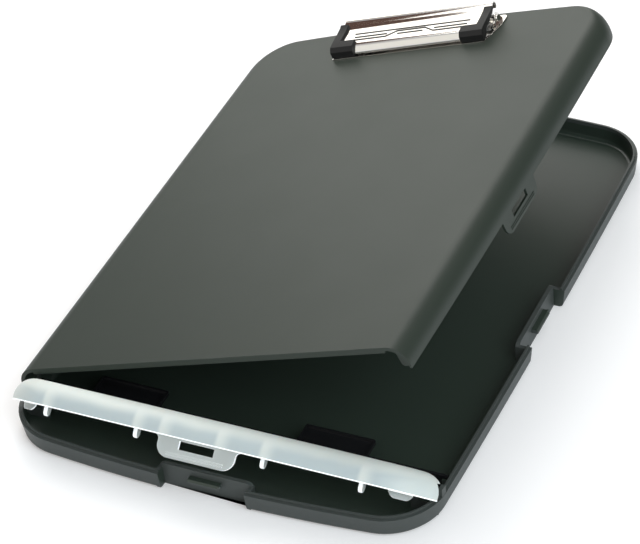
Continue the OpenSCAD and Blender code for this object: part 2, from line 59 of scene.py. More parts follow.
# Room between pieces that close, turn in a bore, or pass each other
SEAM_GAP, TURN_FIT, PASS_GAP = 0.4, 0.06, 0.35

# Tray and divider
TRAY_H, TRAY_WALL, TRAY_FLOOR = 12.2, 2.4, 2.0
LIP_H, LIP_T, LIP_INSET = 1.5, 1.1, 1.6
DIVIDER_Y, DIVIDER_T, DIVIDER_H = FRONT_LINE + 42.6, 1.6, 9.6
HOLD_XS, HOLD_W, HOLD_REACH, HOLD_T, HOLD_RIM = (-92.0, 34.6), 42.0, 14.0, 2.0, 1.4

# Lid and flap; SHELL_Z is their foot, and EDGE_Z where their edge starts to roll
CLOSED_H, LID_T, FLAP_T = 26.8, 2.2, 1.5
EDGE_R, BACK_LEAN, SKIRT_T = 11.6, 4.0, 1.3
SHELL_Z, EDGE_Z = TRAY_H + SEAM_GAP, CLOSED_H - EDGE_R
SEAM_Y, NOSE_R = FRONT_LINE + 30.2, 4.5
FLAP_Y, FLAP_Z = SEAM_Y - SEAM_GAP - NOSE_R, CLOSED_H - NOSE_R
FLAP_RIBS = (-96, -39, -23, 11, 37, 93)
LID_RIB_XS, LID_RIB_YS = (-84, -28, 28, 84), (FRONT_LINE + 36, -49, 49, -FRONT_LINE - 36)
POST_X, POST_T = 110.4, 3.8
EAR_X, EAR_T = POST_X + POST_T + PASS_GAP, 2.8
STUB_R = 1.3

# Latches
GAP_W, GAP_D = 52.0, 7.0
CATCH_W, CATCH_H, CATCH_Z = 19.0, 2.4, 7.9
TAB_W, TAB_T, TAB_LOW, TAB_R, TAB_BACK = 46.0, 1.6, 1.2, 7.0, 1.1
SLOT_SIDE, SLOT_END = 0.9, 1.1
NUB_R = 1.2

# Lid hinge
HINGE_X, HINGE_Z = -BODY_W / 2 - 0.3, TRAY_H + 0.5
BARREL_N, BARREL_LEN, BARREL_Y, BARREL_R, PIN_R = 5, 60.0, 92.0, 3.2, 1.25
BARREL_STEP, BARREL_GAP = BARREL_LEN / BARREL_N, PASS_GAP

# Clip, from the front left of its base plate on the lid
CLIP_X, CLIP_Y, CLIP_W, CLIP_D, CLIP_LIP = -4.0, 150.5, 118.0, 27.0, 1.6
SHEET_T, JAW_W, EAR_IN = 0.8, CLIP_W - 13, 3.0
ROD_Y, ROD_Z, ROD_R = 18.5, 4.2, 1.4
WIRE_R, COIL_TURNS, COIL_PITCH = 0.5, 5.25, 1.15
RIVET_X, RIVET_Y, RIVET_R, RIVET_HOLE_R = 34, 9, 1.9, 1.96

# How far the two covers stand open, in degrees
LID_OPEN, FLAP_OPEN = 19.0, 47.0

# Steps round a corner and along a straight side
CORNER_STEPS, SIDE_STEPS, LID_SIDE_STEPS, FLAP_FRONT_STEPS = 14, 24, 20, 40


# ---- placing -------------------------------------------------------------

MM = 0.001


def turned(angle, axis, pivot):
    """A turn in degrees about a line through a point in millimetres."""
    p = Vector(pivot) * MM
    turn = Matrix.Rotation(math.radians(angle), 4, axis)
    return Matrix.Translation(p) @ turn @ Matrix.Translation(-p)


PLACE = {
    "tray": Matrix.Identity(4),
    "lid": turned(-LID_OPEN, "Y", (HINGE_X, 0, HINGE_Z)),
    "flap": turned(-FLAP_OPEN, "X", (0, FLAP_Y, FLAP_Z)),
}
PLACE["clip"] = PLACE["lid"] @ Matrix.Translation((CLIP_X * MM, CLIP_Y * MM, CLOSED_H * MM))


# ---- outlines ------------------------------------------------------------

def arc(cx, cy, r, start, stop, n):
    """n steps of a circle's arc, in degrees."""
    return [(cx + r * math.cos(math.radians(start + (stop - start) * i / n)),
             cy + r * math.sin(math.radians(start + (stop - start) * i / n))) for i in range(n + 1)]


def spread(a, b, n):
    """Points between a and b, both left out."""
    return [(a[0] + (b[0] - a[0]) * i / n, a[1] + (b[1] - a[1]) * i / n) for i in range(1, n)]


def bowed(p, hw, hl):
    """A point of a straight-sided outline, moved out with the bowed front, back and latch side."""
    x, y = p
    return (x + (SIDE_BOW * (1 - (y / hl) ** 2) * x / hw if x > 0 else 0),
            y + (-FRONT_BOW if y < 0 else BACK_BOW) * (1 - (x / hw) ** 2))


def halves(inset):
    """The outline drawn in by inset: half width and length, corner radius and corner centre."""
    hw, hl, r = BODY_W / 2 - inset, BODY_L / 2 - inset, CORNER_R - inset
    return hw, hl, r, hw - r, hl - r


def plan(inset):
    """The tray's outline from above."""
    hw, hl, r, cx, cy = halves(inset)
    nc, ns = CORNER_STEPS, SIDE_STEPS
    raw = (arc(cx, -cy, r, -90, 0, nc) + spread((hw, -cy), (hw, cy), ns)
           + arc(cx, cy, r, 0, 90, nc) + spread((cx, hl), (-cx, hl), ns)
           + arc(-cx, cy, r, 90, 180, nc) + spread((-hw, cy), (-hw, -cy), ns)
           + arc(-cx, -cy, r, 180, 270, nc) + spread((-cx, -hl), (cx, -hl), ns))
    return [bowed(p, hw, hl) for p in raw]


def lid_outline(inset, back):
    """The lid's outline from the seam round the clip end, which is drawn in by back."""
    hw, hl, r, cx, cy = halves(inset)
    hl, cy = hl + inset - back, cy + inset - back
    nc, ns = CORNER_STEPS, LID_SIDE_STEPS
    raw = ([(hw, SEAM_Y)] + spread((hw, SEAM_Y), (hw, cy), ns) + arc(cx, cy, r, 0, 90, nc)
           + spread((cx, hl), (-cx, hl), ns) + arc(-cx, cy, r, 90, 180, nc)
           + spread((-hw, cy), (-hw, SEAM_Y), ns) + [(-hw, SEAM_Y)])
    return [bowed(p, hw, hl) for p in raw]


def flap_outline(inset, rear):
    """The flap's outline from its rear line round the front."""
    hw, hl, r, cx, cy = halves(inset)
    nc, ns = CORNER_STEPS, FLAP_FRONT_STEPS
    a0 = math.degrees(math.asin((rear + cy) / r))
    raw = (arc(-cx, -cy, r, 180 - a0, 270, nc) + spread((-cx, -hl), (cx, -hl), ns)
           + arc(cx, -cy, r, 270, 360 + a0, nc))
    out = [bowed(p, hw, hl) for p in raw]
    out[0] = (out[0][0], rear)
    out[-1] = (out[-1][0], rear)
    return out


def steps(a, b, n):
    """n even steps from a to b, both kept."""
    return [a + (b - a) * i / n for i in range(n + 1)]


def front_at(x):
    """The bowed front edge at a place across the box."""
    return FRONT_LINE - FRONT_BOW * (1 - (2 * x / BODY_W) ** 2)


# ---- mesh building -------------------------------------------------------

def solid(name, part):
    """An object from a (points, faces) pair in millimetres, in the closed position."""
    verts, faces = part
    bm = bmesh.new()
    vs = [bm.verts.new((v[0] * MM, v[1] * MM, v[2] * MM)) for v in verts]
    for f in faces:
        bm.faces.new([vs[i] for i in f])
    bmesh.ops.recalc_face_normals(bm, faces=bm.faces)
    me = bpy.data.meshes.new(name)
    bm.to_mesh(me)
    bm.free()
    ob = bpy.data.objects.new(name, me)
    bpy.context.scene.collection.objects.link(ob)
    return ob


def loft(rings):
    """Closed rings of points, low to high, joined by quads, with both ends filled."""
    n = len(rings[0])
    verts = [p for r in rings for p in r]
    faces = []
    for i in range(len(rings) - 1):
        for j in range(n):
            k = (j + 1) % n
            faces.append((i * n + j, i * n + k, (i + 1) * n + k, (i + 1) * n + j))
    faces.append(tuple(range(n - 1, -1, -1)))
    faces.append(tuple((len(rings) - 1) * n + j for j in range(n)))
    return verts, faces


def shell(outer, inner, m):
    """A thin shell from open rings outside and inside, closed across their end from ring m up."""
    n, k = len(outer) - 1, len(outer[0]) - 1
    base = (n + 1) * (k + 1)
    verts = [p for r in outer for p in r] + [p for r in inner for p in r]

    def o(i, j):
        return i * (k + 1) + j

    def q(i, j):
        return base + i * (k + 1) + j

    faces = []
    for i in range(n):
        for j in range(k):
            faces.append((o(i, j), o(i, j + 1), o(i + 1, j + 1), o(i + 1, j)))
            faces.append((q(i, j), q(i + 1, j), q(i + 1, j + 1), q(i, j + 1)))
    for j in range(k):
        faces.append((o(0, j), q(0, j), q(0, j + 1), o(0, j + 1)))
    faces.append(tuple(o(n, j) for j in range(k + 1)))
    faces.append(tuple(q(n, j) for j in range(k, -1, -1)))
    for i in range(m):
        faces.append((o(i, 0), o(i + 1, 0), q(i + 1, 0), q(i, 0)))
        faces.append((o(i, k), q(i, k), q(i + 1, k), o(i + 1, k)))
    for i in range(m, n):
        faces.append((o(i, k), o(i, 0), o(i + 1, 0), o(i + 1, k)))
        faces.append((q(i, k), q(i + 1, k), q(i + 1, 0), q(i, 0)))
    faces.append((o(m, k), q(m, k), q(m, 0), o(m, 0)))
    return verts, faces


def prism(points, axis, lo, hi):
    """An outline of (y, z), (x, z) or (x, y) pairs, pushed along the third axis from lo to hi."""
    def at(p, d):
        return {"X": (d, p[0], p[1]), "Y": (p[0], d, p[1]), "Z": (p[0], p[1], d)}[axis]
    return loft([[at(p, lo) for p in points], [at(p, hi) for p in points]])


def block(x, y, z):
    """A block from (low, high) pairs."""
    return prism([(x[0], y[0]), (x[1], y[0]), (x[1], y[1]), (x[0], y[1])], "Z", z[0], z[1])


def turned_rod(axis, a, b, profile, seg=40):
    """A body turned about a line along an axis; profile is a list of (distance, radius)."""
    rings = []
    for d, r in profile:
        ring = []
        for i in range(seg):
            t = 2 * math.pi * i / seg
            u, v = a + r * math.cos(t), b + r * math.sin(t)
            ring.append({"X": (d, u, v), "Y": (u, d, v), "Z": (u, v, d)}[axis])
        rings.append(ring)
    return loft(rings)


def rod(axis, a, b, lo, hi, r, soft=0.25, seg=40):
    """A round bar with softly rounded ends."""
    s = min(soft, r * 0.5, (hi - lo) * 0.3)
    return turned_rod(axis, a, b, [(lo, r - s), (lo + 0.3 * s, r - 0.3 * s), (lo + s, r),
                                   (hi - s, r), (hi - 0.3 * s, r - 0.3 * s), (hi, r - s)], seg)


def mirrored(part):
    """The same piece on the other side of the box."""
    verts, faces = part
    return [(-v[0], v[1], v[2]) for v in verts], [tuple(reversed(f)) for f in faces]


def quarter(part):
    """A piece drawn for the front end, turned onto the latch side."""
    return [(-v[1], v[0], v[2]) for v in part[0]], part[1]


def ring_body(x, y, profile, seg=48):
    """An upright ring about (x, y); profile is a closed list of (height, radius)."""
    n = len(profile)
    verts, faces = [], []
    for i in range(seg):
        t = 2 * math.pi * i / seg
        verts += [(x + r * math.cos(t), y + r * math.sin(t), z) for z, r in profile]
    for i in range(seg):
        for k in range(n):
            faces.append((i * n + k, i * n + (k + 1) % n,
                          (i + 1) % seg * n + (k + 1) % n, (i + 1) % seg * n + k))
    return verts, faces


def ball(c, r):
    """A small round nub."""
    return loft([[(c[0] + r * math.cos(e) * math.cos(t), c[1] + r * math.cos(e) * math.sin(t),
                   c[2] + r * math.sin(e)) for t in (2 * math.pi * i / 20 for i in range(20))]
                 for e in (math.radians(a) for a in steps(-84, 84, 12))])


def wire(points, r, seg=10):
    """A round wire along a line of points, with frames carried along it."""
    pts = [Vector(p) for p in points]
    rings, u = [], None
    for i, p in enumerate(pts):
        d = (pts[min(i + 1, len(pts) - 1)] - pts[max(i - 1, 0)]).normalized()
        if u is None:
            u = d.cross(Vector((0.3, 0.9, 0.2))).normalized()
        u = (u - d * u.dot(d)).normalized()
        v = d.cross(u)
        rings.append([tuple(p + (u * math.cos(t) + v * math.sin(t)) * r)
                      for t in (2 * math.pi * k / seg for k in range(seg))])
    return loft(rings)


def applied(ob):
    """Puts the object's modifiers into its mesh."""
    bpy.context.view_layer.update()
    me = bpy.data.meshes.new_from_object(ob.evaluated_get(bpy.context.evaluated_depsgraph_get()))
    old = ob.data
    ob.modifiers.clear()
    ob.data = me
    bpy.data.meshes.remove(old)
    return ob


def combined(base, others, kind="UNION"):
    """Boolean of one object with others, which are used up."""
    for other in others:
        m = base.modifiers.new("b", "BOOLEAN")
        m.operation, m.solver, m.object = kind, "EXACT", other
        applied(base)
        bpy.data.objects.remove(other)
    return base


def cut(base, parts):
    """The object without the parts."""
    return combined(base, [solid("cutter", p) for p in parts], "DIFFERENCE")


def united(name, parts):
    """One object from overlapping parts."""
    obs = [solid(name, p) for p in parts]
    return combined(obs[0], obs[1:])


def bundle(name, parts):
    """Several closed bodies in one mesh, left as they are."""
    verts, faces = [], []
    for v, f in parts:
        faces += [tuple(i + len(verts) for i in face) for face in f]
        verts += list(v)
    return solid(name, (verts, faces))


def softened(ob, width=0.3, segments=2, angle=38.0, sharp=32.0):
    """Small rounded edges, smooth shading and face-weighted normals."""
    bm = bmesh.new()
    bm.from_mesh(ob.data)
    bmesh.ops.remove_doubles(bm, verts=bm.verts, dist=2e-6)
    bmesh.ops.dissolve_degenerate(bm, edges=bm.edges, dist=2e-6)
    bm.to_mesh(ob.data)
    bm.free()
    if width:
        m = ob.modifiers.new("edge", "BEVEL")
        m.width, m.segments, m.limit_method = width * MM, segments, "ANGLE"
        m.angle_limit, m.use_clamp_overlap, m.miter_outer = math.radians(angle), True, "MITER_ARC"
        applied(ob)
    ob.data.shade_smooth()
    ob.data.set_sharp_from_angle(angle=math.radians(sharp))
    m = ob.modifiers.new("normals", "WEIGHTED_NORMAL")
    m.keep_sharp, m.weight = True, 50
    applied(ob)
    return ob


def finished(ob, name, place, body, material, replaces=None):
    """Names a piece, puts it in its open position and hangs it on its body."""
    ob.name = name
    ob.data.name = name
    ob.data.transform(PLACE[place])
    kinds = [p.material_index for p in ob.data.polygons]
    ob.data.materials.clear()
    for m in (material if isinstance(material, (list, tuple)) else [material]):
        ob.data.materials.append(m)
    ob.data.polygons.foreach_set("material_index", kinds)
    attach(ob, body)
    if replaces:
        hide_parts(replaces)
    return ob


# ---- finishes ------------------------------------------------------------

def group(name, inputs, outputs):
    """A new shader node group with float or colour sockets."""
    g = bpy.data.node_groups.new(name, "ShaderNodeTree")
    kinds = {"f": "NodeSocketFloat", "c": "NodeSocketColor"}
    for n, k, d in inputs:
        g.interface.new_socket(name=n, in_out="INPUT", socket_type=kinds[k]).default_value = d
    for n, k in outputs:
        g.interface.new_socket(name=n, in_out="OUTPUT", socket_type=kinds[k])
    return g, g.nodes.new("NodeGroupInput").outputs, g.nodes.new("NodeGroupOutput").inputs


def feed(tree, socket, value):
    """Links another node's output to a socket, or sets the socket's own value."""
    if isinstance(value, bpy.types.NodeSocket):
        tree.links.new(value, socket)
    else:
        socket.default_value = value


def add(tree, kind, feeds=None, **values):
    """A new node, with values by name for inputs or settings, then feeds by name or number."""
    n = tree.nodes.new(kind)
    for k, v in values.items():
        if k in n.inputs:
            feed(tree, n.inputs[k], v)
        else:
            setattr(n, k, v)
    for k, v in (feeds or {}).items():
        feed(tree, n.inputs[k], v)
    return n


def placed(tree, name, values):
    """A node group in a material, with the values of its inputs."""
    n = tree.nodes.new("ShaderNodeGroup")
    n.node_tree = bpy.data.node_groups[name]
    for k, v in values.items():
        feed(tree, n.inputs[k], v)
    return n


def object_place(tree):
    """Where a point is on its object."""
    return add(tree, "ShaderNodeTexCoord").outputs["Object"]


def noise(tree, place, scale, **values):
    """Noise from 0 to 1 at a place."""
    return add(tree, "ShaderNodeTexNoise", Vector=place, Scale=scale, **values).outputs["Fac"]


def maths(tree, operation, *values, clamp=False):
    """The result of a math node with sockets or numbers."""
    n = add(tree, "ShaderNodeMath", dict(enumerate(values)), operation=operation, use_clamp=clamp)
    return n.outputs[0]


def smooth(tree, value, low, high):
    """A soft step from 0 at low to 1 at high."""
    return add(tree, "ShaderNodeMapRange", {"From Min": low, "From Max": high}, Value=value,
               interpolation_type="SMOOTHSTEP").outputs["Result"]


def blended(tree, mask, a, b):
    """Colour a where the mask is 0 and b where it is 1."""
    return add(tree, "ShaderNodeMix", {"Factor": mask, 6: a, 7: b}, data_type="RGBA").outputs[2]


def grain_group():
    """Fine moulded grain: a height for bump, and roughness that drifts a little."""
    g, given, out = group("Moulded Grain",
                          [("Scale", "f", 2600.0), ("Roughness", "f", 0.5), ("Drift", "f", 0.08)],
                          [("Height", "f"), ("Roughness", "f")])
    place, scale = object_place(g), given["Scale"]
    fine = noise(g, place, scale, Detail=3.0, Roughness=0.65)
    pits = add(g, "ShaderNodeTexVoronoi", Vector=place, Scale=scale).outputs["Distance"]
    feed(g, out["Height"], maths(g, "MULTIPLY_ADD", pits, 0.6, fine))
    wide = maths(g, "SUBTRACT", noise(g, place, 22.0, Detail=4.0, Roughness=0.6), 0.5)
    feed(g, out["Roughness"],
         maths(g, "MULTIPLY_ADD", wide, given["Drift"], given["Roughness"], clamp=True))


def drift_group():
    """A colour that drifts softly between two shades, with a sprinkle of fine dust."""
    g, given, out = group("Shade Drift",
                          [("Shade", "c", (0.1, 0.1, 0.1, 1)),
                           ("Other Shade", "c", (0.12, 0.12, 0.12, 1)),
                           ("Dust", "f", 0.02), ("Scale", "f", 9.0)],
                          [("Color", "c")])
    place = object_place(g)
    wide = noise(g, place, given["Scale"], Detail=3.0, Roughness=0.55)
    shade = blended(g, wide, given["Shade"], given["Other Shade"])
    specks = add(g, "ShaderNodeMapRange", {"From Min": 0.68, "From Max": 0.78},
                 Value=noise(g, place, 900.0, Detail=2.0)).outputs["Result"]
    dust = maths(g, "MULTIPLY", specks, given["Dust"])
    feed(g, out["Color"], blended(g, dust, shade, (0.6, 0.6, 0.58, 1)))


def brushed_group():
    """Drawn streaks along X, for plated steel and wire."""
    g, given, out = group("Drawn Streaks",
                          [("Roughness", "f", 0.12), ("Amount", "f", 0.1), ("Scale", "f", 60.0)],
                          [("Height", "f"), ("Roughness", "f")])
    stretched = add(g, "ShaderNodeMapping", Vector=object_place(g), Scale=(1.0, 40.0, 40.0))
    streaks = noise(g, stretched.outputs[0], given["Scale"], Detail=3.0)
    feed(g, out["Height"], streaks)
    feed(g, out["Roughness"],
         maths(g, "MULTIPLY_ADD", streaks, given["Amount"], given["Roughness"], clamp=True))


# Where the frosted flap's painted light and shade change, in metres, with the box closed: the
# painted highlight along its top, the paler ends and the painted glow at its lower edge
PAINTED_HIGHLIGHT_BAND, PAINTED_HIGHLIGHT_WAVE = (0.0195, 0.0258), 0.004
END_BAND, PAINTED_GLOW_BAND = (0.098, 0.122), (0.01335, 0.01315)


def painted_flap_light_group():
    """A frosted sheet with painted light and shade: a painted highlight along its top, painted pale
    bands over its ribs with a soft painted shade to one side, painted shade between them, paler
    ends and a painted glow at its edge.
    """
    g, given, out = group("Frosted Sheet Painted Light",
                          [("Top", "c", (0.8, 0.8, 0.8, 1)), ("Painted Shade", "c", (0.6, 0.65, 0.67, 1)),
                           ("Rib", "c", (0.8, 0.85, 0.84, 1)), ("Edge", "c", (0.95, 0.97, 0.97, 1)),
                           ("Dark", "c", (0, 0, 0, 1))],
                          [("Color", "c"), ("Glow", "c")])
    place, back = object_place(g), PLACE["flap"].inverted()
    closed = add(g, "ShaderNodeMapping", Vector=place, Location=back.translation,
                 Rotation=back.to_euler())
    xyz = add(g, "ShaderNodeSeparateXYZ", {0: closed.outputs[0]})
    x, z = xyz.outputs["X"], xyz.outputs["Z"]
    cloud = noise(g, place, 38.0, Detail=2.0, Roughness=0.5)
    # Painted highlight along the top of the rolled edge, with a wavering lower border
    top = smooth(g, maths(g, "ADD", z, maths(g, "MULTIPLY", cloud, PAINTED_HIGHLIGHT_WAVE)), *PAINTED_HIGHLIGHT_BAND)
    # Painted pale bands over the ribs, each with a soft painted shade trailing to one side
    ribs = None
    for r in FLAP_RIBS:
        near = smooth(g, x, (r - 2.2) * MM, (r + 0.6) * MM)
        far = smooth(g, x, (r + 9.0) * MM, (r + 1.0) * MM)
        one = maths(g, "MULTIPLY", near, far)
        ribs = one if ribs is None else maths(g, "MAXIMUM", ribs, one)
    # Paler towards the ends
    ends = smooth(g, maths(g, "ABSOLUTE", x), *END_BAND)
    painted_light_mask = maths(g, "MAXIMUM", top, maths(g, "MULTIPLY", ends, 0.7))
    # Painted shade below the highlight, painted highlight above, the painted rib bands over both
    colour = blended(g, maths(g, "MULTIPLY", ribs, 0.9),
                     blended(g, painted_light_mask, given["Painted Shade"], given["Top"]), given["Rib"])
    # Painted glow along the lower cut edge, in the colour and in the emission
    edge = smooth(g, z, *PAINTED_GLOW_BAND)
    feed(g, out["Color"], blended(g, edge, colour, given["Edge"]))
    feed(g, out["Glow"], blended(g, edge, given["Dark"], given["Edge"]))


def plain_material(name):
    m = bpy.data.materials.new(name)
    m.use_nodes = True
    return m, m.node_tree, m.node_tree.nodes["Principled BSDF"]


def dressed(tree, shader, colour, surface, strength, distance):
    """Feeds a shader's colour, roughness and fine bump."""
    bump = add(tree, "ShaderNodeBump", Strength=strength, Distance=distance,
               Height=surface.outputs["Height"])
    feed(tree, shader.inputs["Base Color"], colour.outputs["Color"])
    feed(tree, shader.inputs["Roughness"], surface.outputs["Roughness"])
    feed(tree, shader.inputs["Normal"], bump.outputs["Normal"])


def plastic(name, shade, other, rough, drift=0.08, grain=2600.0, bump=0.00002, dust=0.01,
            specular=0.5, drift_scale=9.0):
    """A moulded plastic whose colour drifts between two shades, with fine grain."""
    m, t, b = plain_material(name)
    colour = placed(t, "Shade Drift", {"Shade": (*shade, 1), "Other Shade": (*other, 1),
                                       "Dust": dust, "Scale": drift_scale})
    surface = placed(t, "Moulded Grain", {"Scale": grain, "Roughness": rough, "Drift": drift})
    dressed(t, b, colour, surface, 0.5, bump)
    b.inputs["Specular IOR Level"].default_value = specular
    return m


def metal(name, shade, rough, amount):
    """A steel or plated finish with fine drawn streaks."""
    m, t, b = plain_material(name)
    b.inputs["Metallic"].default_value = 1.0
    colour = placed(t, "Shade Drift", {"Shade": (*shade, 1), "Dust": 0.0, "Scale": 60.0,
                                       "Other Shade": (*[c * 0.93 for c in shade], 1)})
    surface = placed(t, "Drawn Streaks", {"Roughness": rough, "Amount": amount})
    dressed(t, b, colour, surface, 0.3, 0.000004)
    return m


MAT = {}


# ---- settings ------------------------------------------------------------

def colour_property(name, description, default):
    return bpy.props.FloatVectorProperty(name=name, description=description, subtype="COLOR",
                                         size=3, min=0.0, max=1.0, default=default)


class BoxSizes(bpy.types.PropertyGroup):
    edge: bpy.props.FloatProperty(
        name="Edge radius", description="Radius of the small rounded edges of the mouldings",
        default=0.0004, min=0.0001, max=0.001, unit="LENGTH")
    sheet_edge: bpy.props.FloatProperty(
        name="Sheet edge radius", description="Radius of the edges of the pressed steel",
        default=0.00012, min=0.00005, max=0.0003, unit="LENGTH")
    roll_steps: bpy.props.IntProperty(
        name="Roll steps", description="Steps round the lid's and the flap's rolled edge",
        default=18, min=6, max=32)
    rib: bpy.props.FloatProperty(
        name="Rib thickness", description="Thickness of the ribs inside the lid and the flap",
        default=0.0014, min=0.001, max=0.002, unit="LENGTH")


class BoxColours(bpy.types.PropertyGroup):
    # The tray's inside takes the lid colour, darker than the tray's outside: painted shade
    shell: colour_property("Lid", "Colour of the lid and the tray's inside", (0.021, 0.030, 0.023))
    tray: colour_property("Tray", "Colour of the tray's outside", (0.052, 0.060, 0.056))
    divider: colour_property("Divider", "Colour of the divider", (0.010, 0.010, 0.011))
    flap: colour_property("Flap", "Colour of the frosted flap", (0.73, 0.77, 0.75))
    # The flap edge colour also gives the painted glow along the flap's cut edges
    cut_edge_glow: colour_property("Flap edge", "Colour of the flap's cut edge", (0.95, 0.97, 0.97))
    plating: colour_property("Plating", "Colour of the plated clip", (0.83, 0.81, 0.78))
    steel: colour_property("Steel", "Colour of the wire and the pins", (0.55, 0.55, 0.56))
    grip: colour_property("Grip", "Colour of the clip's grips", (0.010, 0.010, 0.010))
    floor: colour_property("Floor", "Colour of the floor", (0.86, 0.86, 0.87))


def sizes():
    return bpy.context.scene.box_sizes


def colours():
    return bpy.context.scene.box_colours


def tinted(shade, k):
    """A colour times a number or times three numbers, and no more than white."""
    return [min(1, a * b) for a, b in zip(shade, k if isinstance(k, tuple) else (k,) * 3)]


class CLIPBOX_OT_finishes(bpy.types.Operator):
    """Makes the plastics, the plating and the steel"""
    bl_idname = "clipbox.finishes"
    bl_label = "Finishes"
    bl_options = {"REGISTER", "UNDO"}

    def execute(self, context):
        grain_group()
        drift_group()
        brushed_group()
        painted_flap_light_group()
        c = colours()
        MAT["lid"] = plastic("Charcoal Lid Plastic", c.shell, tinted(c.shell, (1.06, 1.04, 0.98)),
                             0.47, bump=0.00003, specular=0.36)
        MAT["tray"] = plastic("Charcoal Tray Plastic", c.tray, tinted(c.tray, 1.06), 0.46)
        # The tray's inside is a darker copy of the plastic than its outside: painted shade
        MAT["well"] = plastic("Tray Inside Painted Shade", tinted(c.shell, 1.2), tinted(c.shell, 1.4), 0.36)
        MAT["divider"] = plastic("Black Divider Plastic", c.divider, c.divider, 0.20, bump=0.00001)
        MAT["grip"] = plastic("Black Grip Rubber", c.grip, tinted(c.grip, 1.3), 0.46, bump=0.00001,
                              dust=0.02, specular=0.22)
        MAT["plating"] = metal("Bright Plating", c.plating, 0.04, 0.06)
        MAT["steel"] = metal("Drawn Steel", c.steel, 0.25, 0.15)
        # The pressed lines are a dark copy of the plating: painted shadow in their grooves
        MAT["groove"] = metal("Pressed Line Painted Shadow", tinted(c.plating, 0.13), 0.3, 0.1)
        MAT["flap"] = self.frosted("Frosted Flap", c.flap, 0.10, 0.42)
        self.paint_flap_light(MAT["flap"].node_tree, c)
        MAT["flap_tab"] = self.frosted("Clear Latch Tab", tinted(c.flap, 0.86), 0.38, 0.30)
        # The cut edges are pale and shine as emission: a painted glow
        MAT["flap_edge"] = self.frosted("Cut Edge Painted Glow", c.cut_edge_glow, 0.0, 0.4)
        shader = MAT["flap_edge"].node_tree.nodes["Principled BSDF"]
        shader.inputs["Emission Color"].default_value = (0.9, 0.95, 0.96, 1)
        shader.inputs["Emission Strength"].default_value = 0.3
        return {"FINISHED"}

    def frosted(self, name, shade, through, rough):
        """A translucent plastic that scatters light."""
        m = plastic(name, shade, tinted(shade, 1.03), rough, drift=0.1, grain=1900.0,
                    bump=0.00001, dust=0.0, drift_scale=26.0)
        shader = m.node_tree.nodes["Principled BSDF"]
        for socket, value in (("Transmission Weight", through), ("IOR", 1.3),
                              ("Subsurface Weight", 0.25), ("Subsurface Scale", 1.0),
                              ("Subsurface Radius", (0.002, 0.0025, 0.003))):
            shader.inputs[socket].default_value = value
        return m

    def paint_flap_light(self, tree, c):
        """Paints light and shade into the flap's colour: a painted highlight over its top, painted
        bands over its ribs, painted shade between them and a painted glow at its cut edge.
        """
        shades = {"Top": (1.0, 1.0, 0.97), "Painted Shade": (0.73, 0.78, 0.81), "Rib": (1.02, 1.02, 1.0)}
        painted_light_tints = {socket: (*tinted(c.flap, k), 1) for socket, k in shades.items()}
        sheet = placed(tree, "Frosted Sheet Painted Light", {**painted_light_tints, "Edge": (*c.cut_edge_glow, 1)})
        shader = tree.nodes["Principled BSDF"]
        # The painted glow of the cut edge also shines as emission, though the flap is no lamp
        shader.inputs["Emission Strength"].default_value = 0.35
        tree.links.new(sheet.outputs["Color"], shader.inputs["Base Color"])
        tree.links.new(sheet.outputs["Glow"], shader.inputs["Emission Color"])


# ---- tray and divider ----------------------------------------------------

def at_height(points, z):
    return [(x, y, z) for x, y in points]


def latch_tab_outline():
    """The latch tab from the front, with flared shoulders and rounded lower corners."""
    half, flare = TAB_W / 2, (GAP_W - TAB_W) / 2 - SEAM_GAP
    right = ([(half + flare, SHELL_Z + 3.6), (half + flare, SHELL_Z)]
             + arc(half + flare, SHELL_Z - flare, flare, 90, 180, 6)[1:]
             + arc(half - TAB_R, TAB_LOW + TAB_R, TAB_R, 0, -90, 8))
    return right + [(-x, z) for x, z in reversed(right)]


def latch_tab(face, edge=0.45):
    """A latch tab for a wall whose outer face is at -face, with a slot and two grip lines."""
    front = -face + TAB_BACK
    grips = [block((-17, 17), (front - 0.35, front + 0.4), (z, z + 0.55))
             for z in (TAB_LOW + 1.5, TAB_LOW + 2.8)]
    tab = united("tab", [prism(latch_tab_outline(), "Y", front, front + TAB_T)] + grips)
    half = CATCH_W / 2 + SLOT_SIDE
    cut(tab, [block((-half, half), (front - 2, front + 4),
                    (CATCH_Z - SLOT_END, CATCH_Z + CATCH_H + SLOT_END))])
    return softened(tab, edge)


def latch_wall(face):
    """The set-back wall of a latch recess, round at its upper corners, and the two sides."""
    w, top, r = GAP_W / 2 + TRAY_WALL, TRAY_H + LIP_H + 0.9, 4.0
    back = -face + GAP_D + TRAY_WALL
    outline = ([(-w, 0.4), (w, 0.4)] + arc(w - r, top - r, r, 0, 90, 8)
               + arc(-w + r, top - r, r, 90, 180, 8))
    parts = [prism(outline, "Y", back - TRAY_WALL, back)]
    for s in (-1, 1):
        x = sorted((s * w, s * (w - TRAY_WALL)))
        parts.append(block(x, (-face + 2.2, back), (0.6, TRAY_H)))
    return parts


def latch_gap(face):
    """The room that a latch recess takes out of the tray's wall."""
    return block((-GAP_W / 2, GAP_W / 2), (-face - 5, -face + GAP_D), (-1, 40))


def latch_catch(face):
    """The catch on the set-back wall, with a sloping top and a round nub at its end."""
    wall, top = -face + GAP_D, CATCH_Z + CATCH_H
    nose = wall - (GAP_D - TAB_BACK - TAB_T - PASS_GAP)
    wedge = [(wall + 0.5, CATCH_Z), (wall + 0.5, top), (nose + 0.9, top), (nose, top - 1.1),
             (nose, CATCH_Z)]
    return [prism(wedge, "X", -CATCH_W / 2, CATCH_W / 2),
            ball((CATCH_W / 2 - 0.2, nose + NUB_R, CATCH_Z + CATCH_H / 2 + 0.3), NUB_R)]


def barrel_span(side, i):
    """Where barrel i of a group starts and ends along the hinge."""
    start = side * BARREL_Y - BARREL_LEN / 2 + i * BARREL_STEP
    return start + BARREL_GAP / 2, start + BARREL_STEP - BARREL_GAP / 2


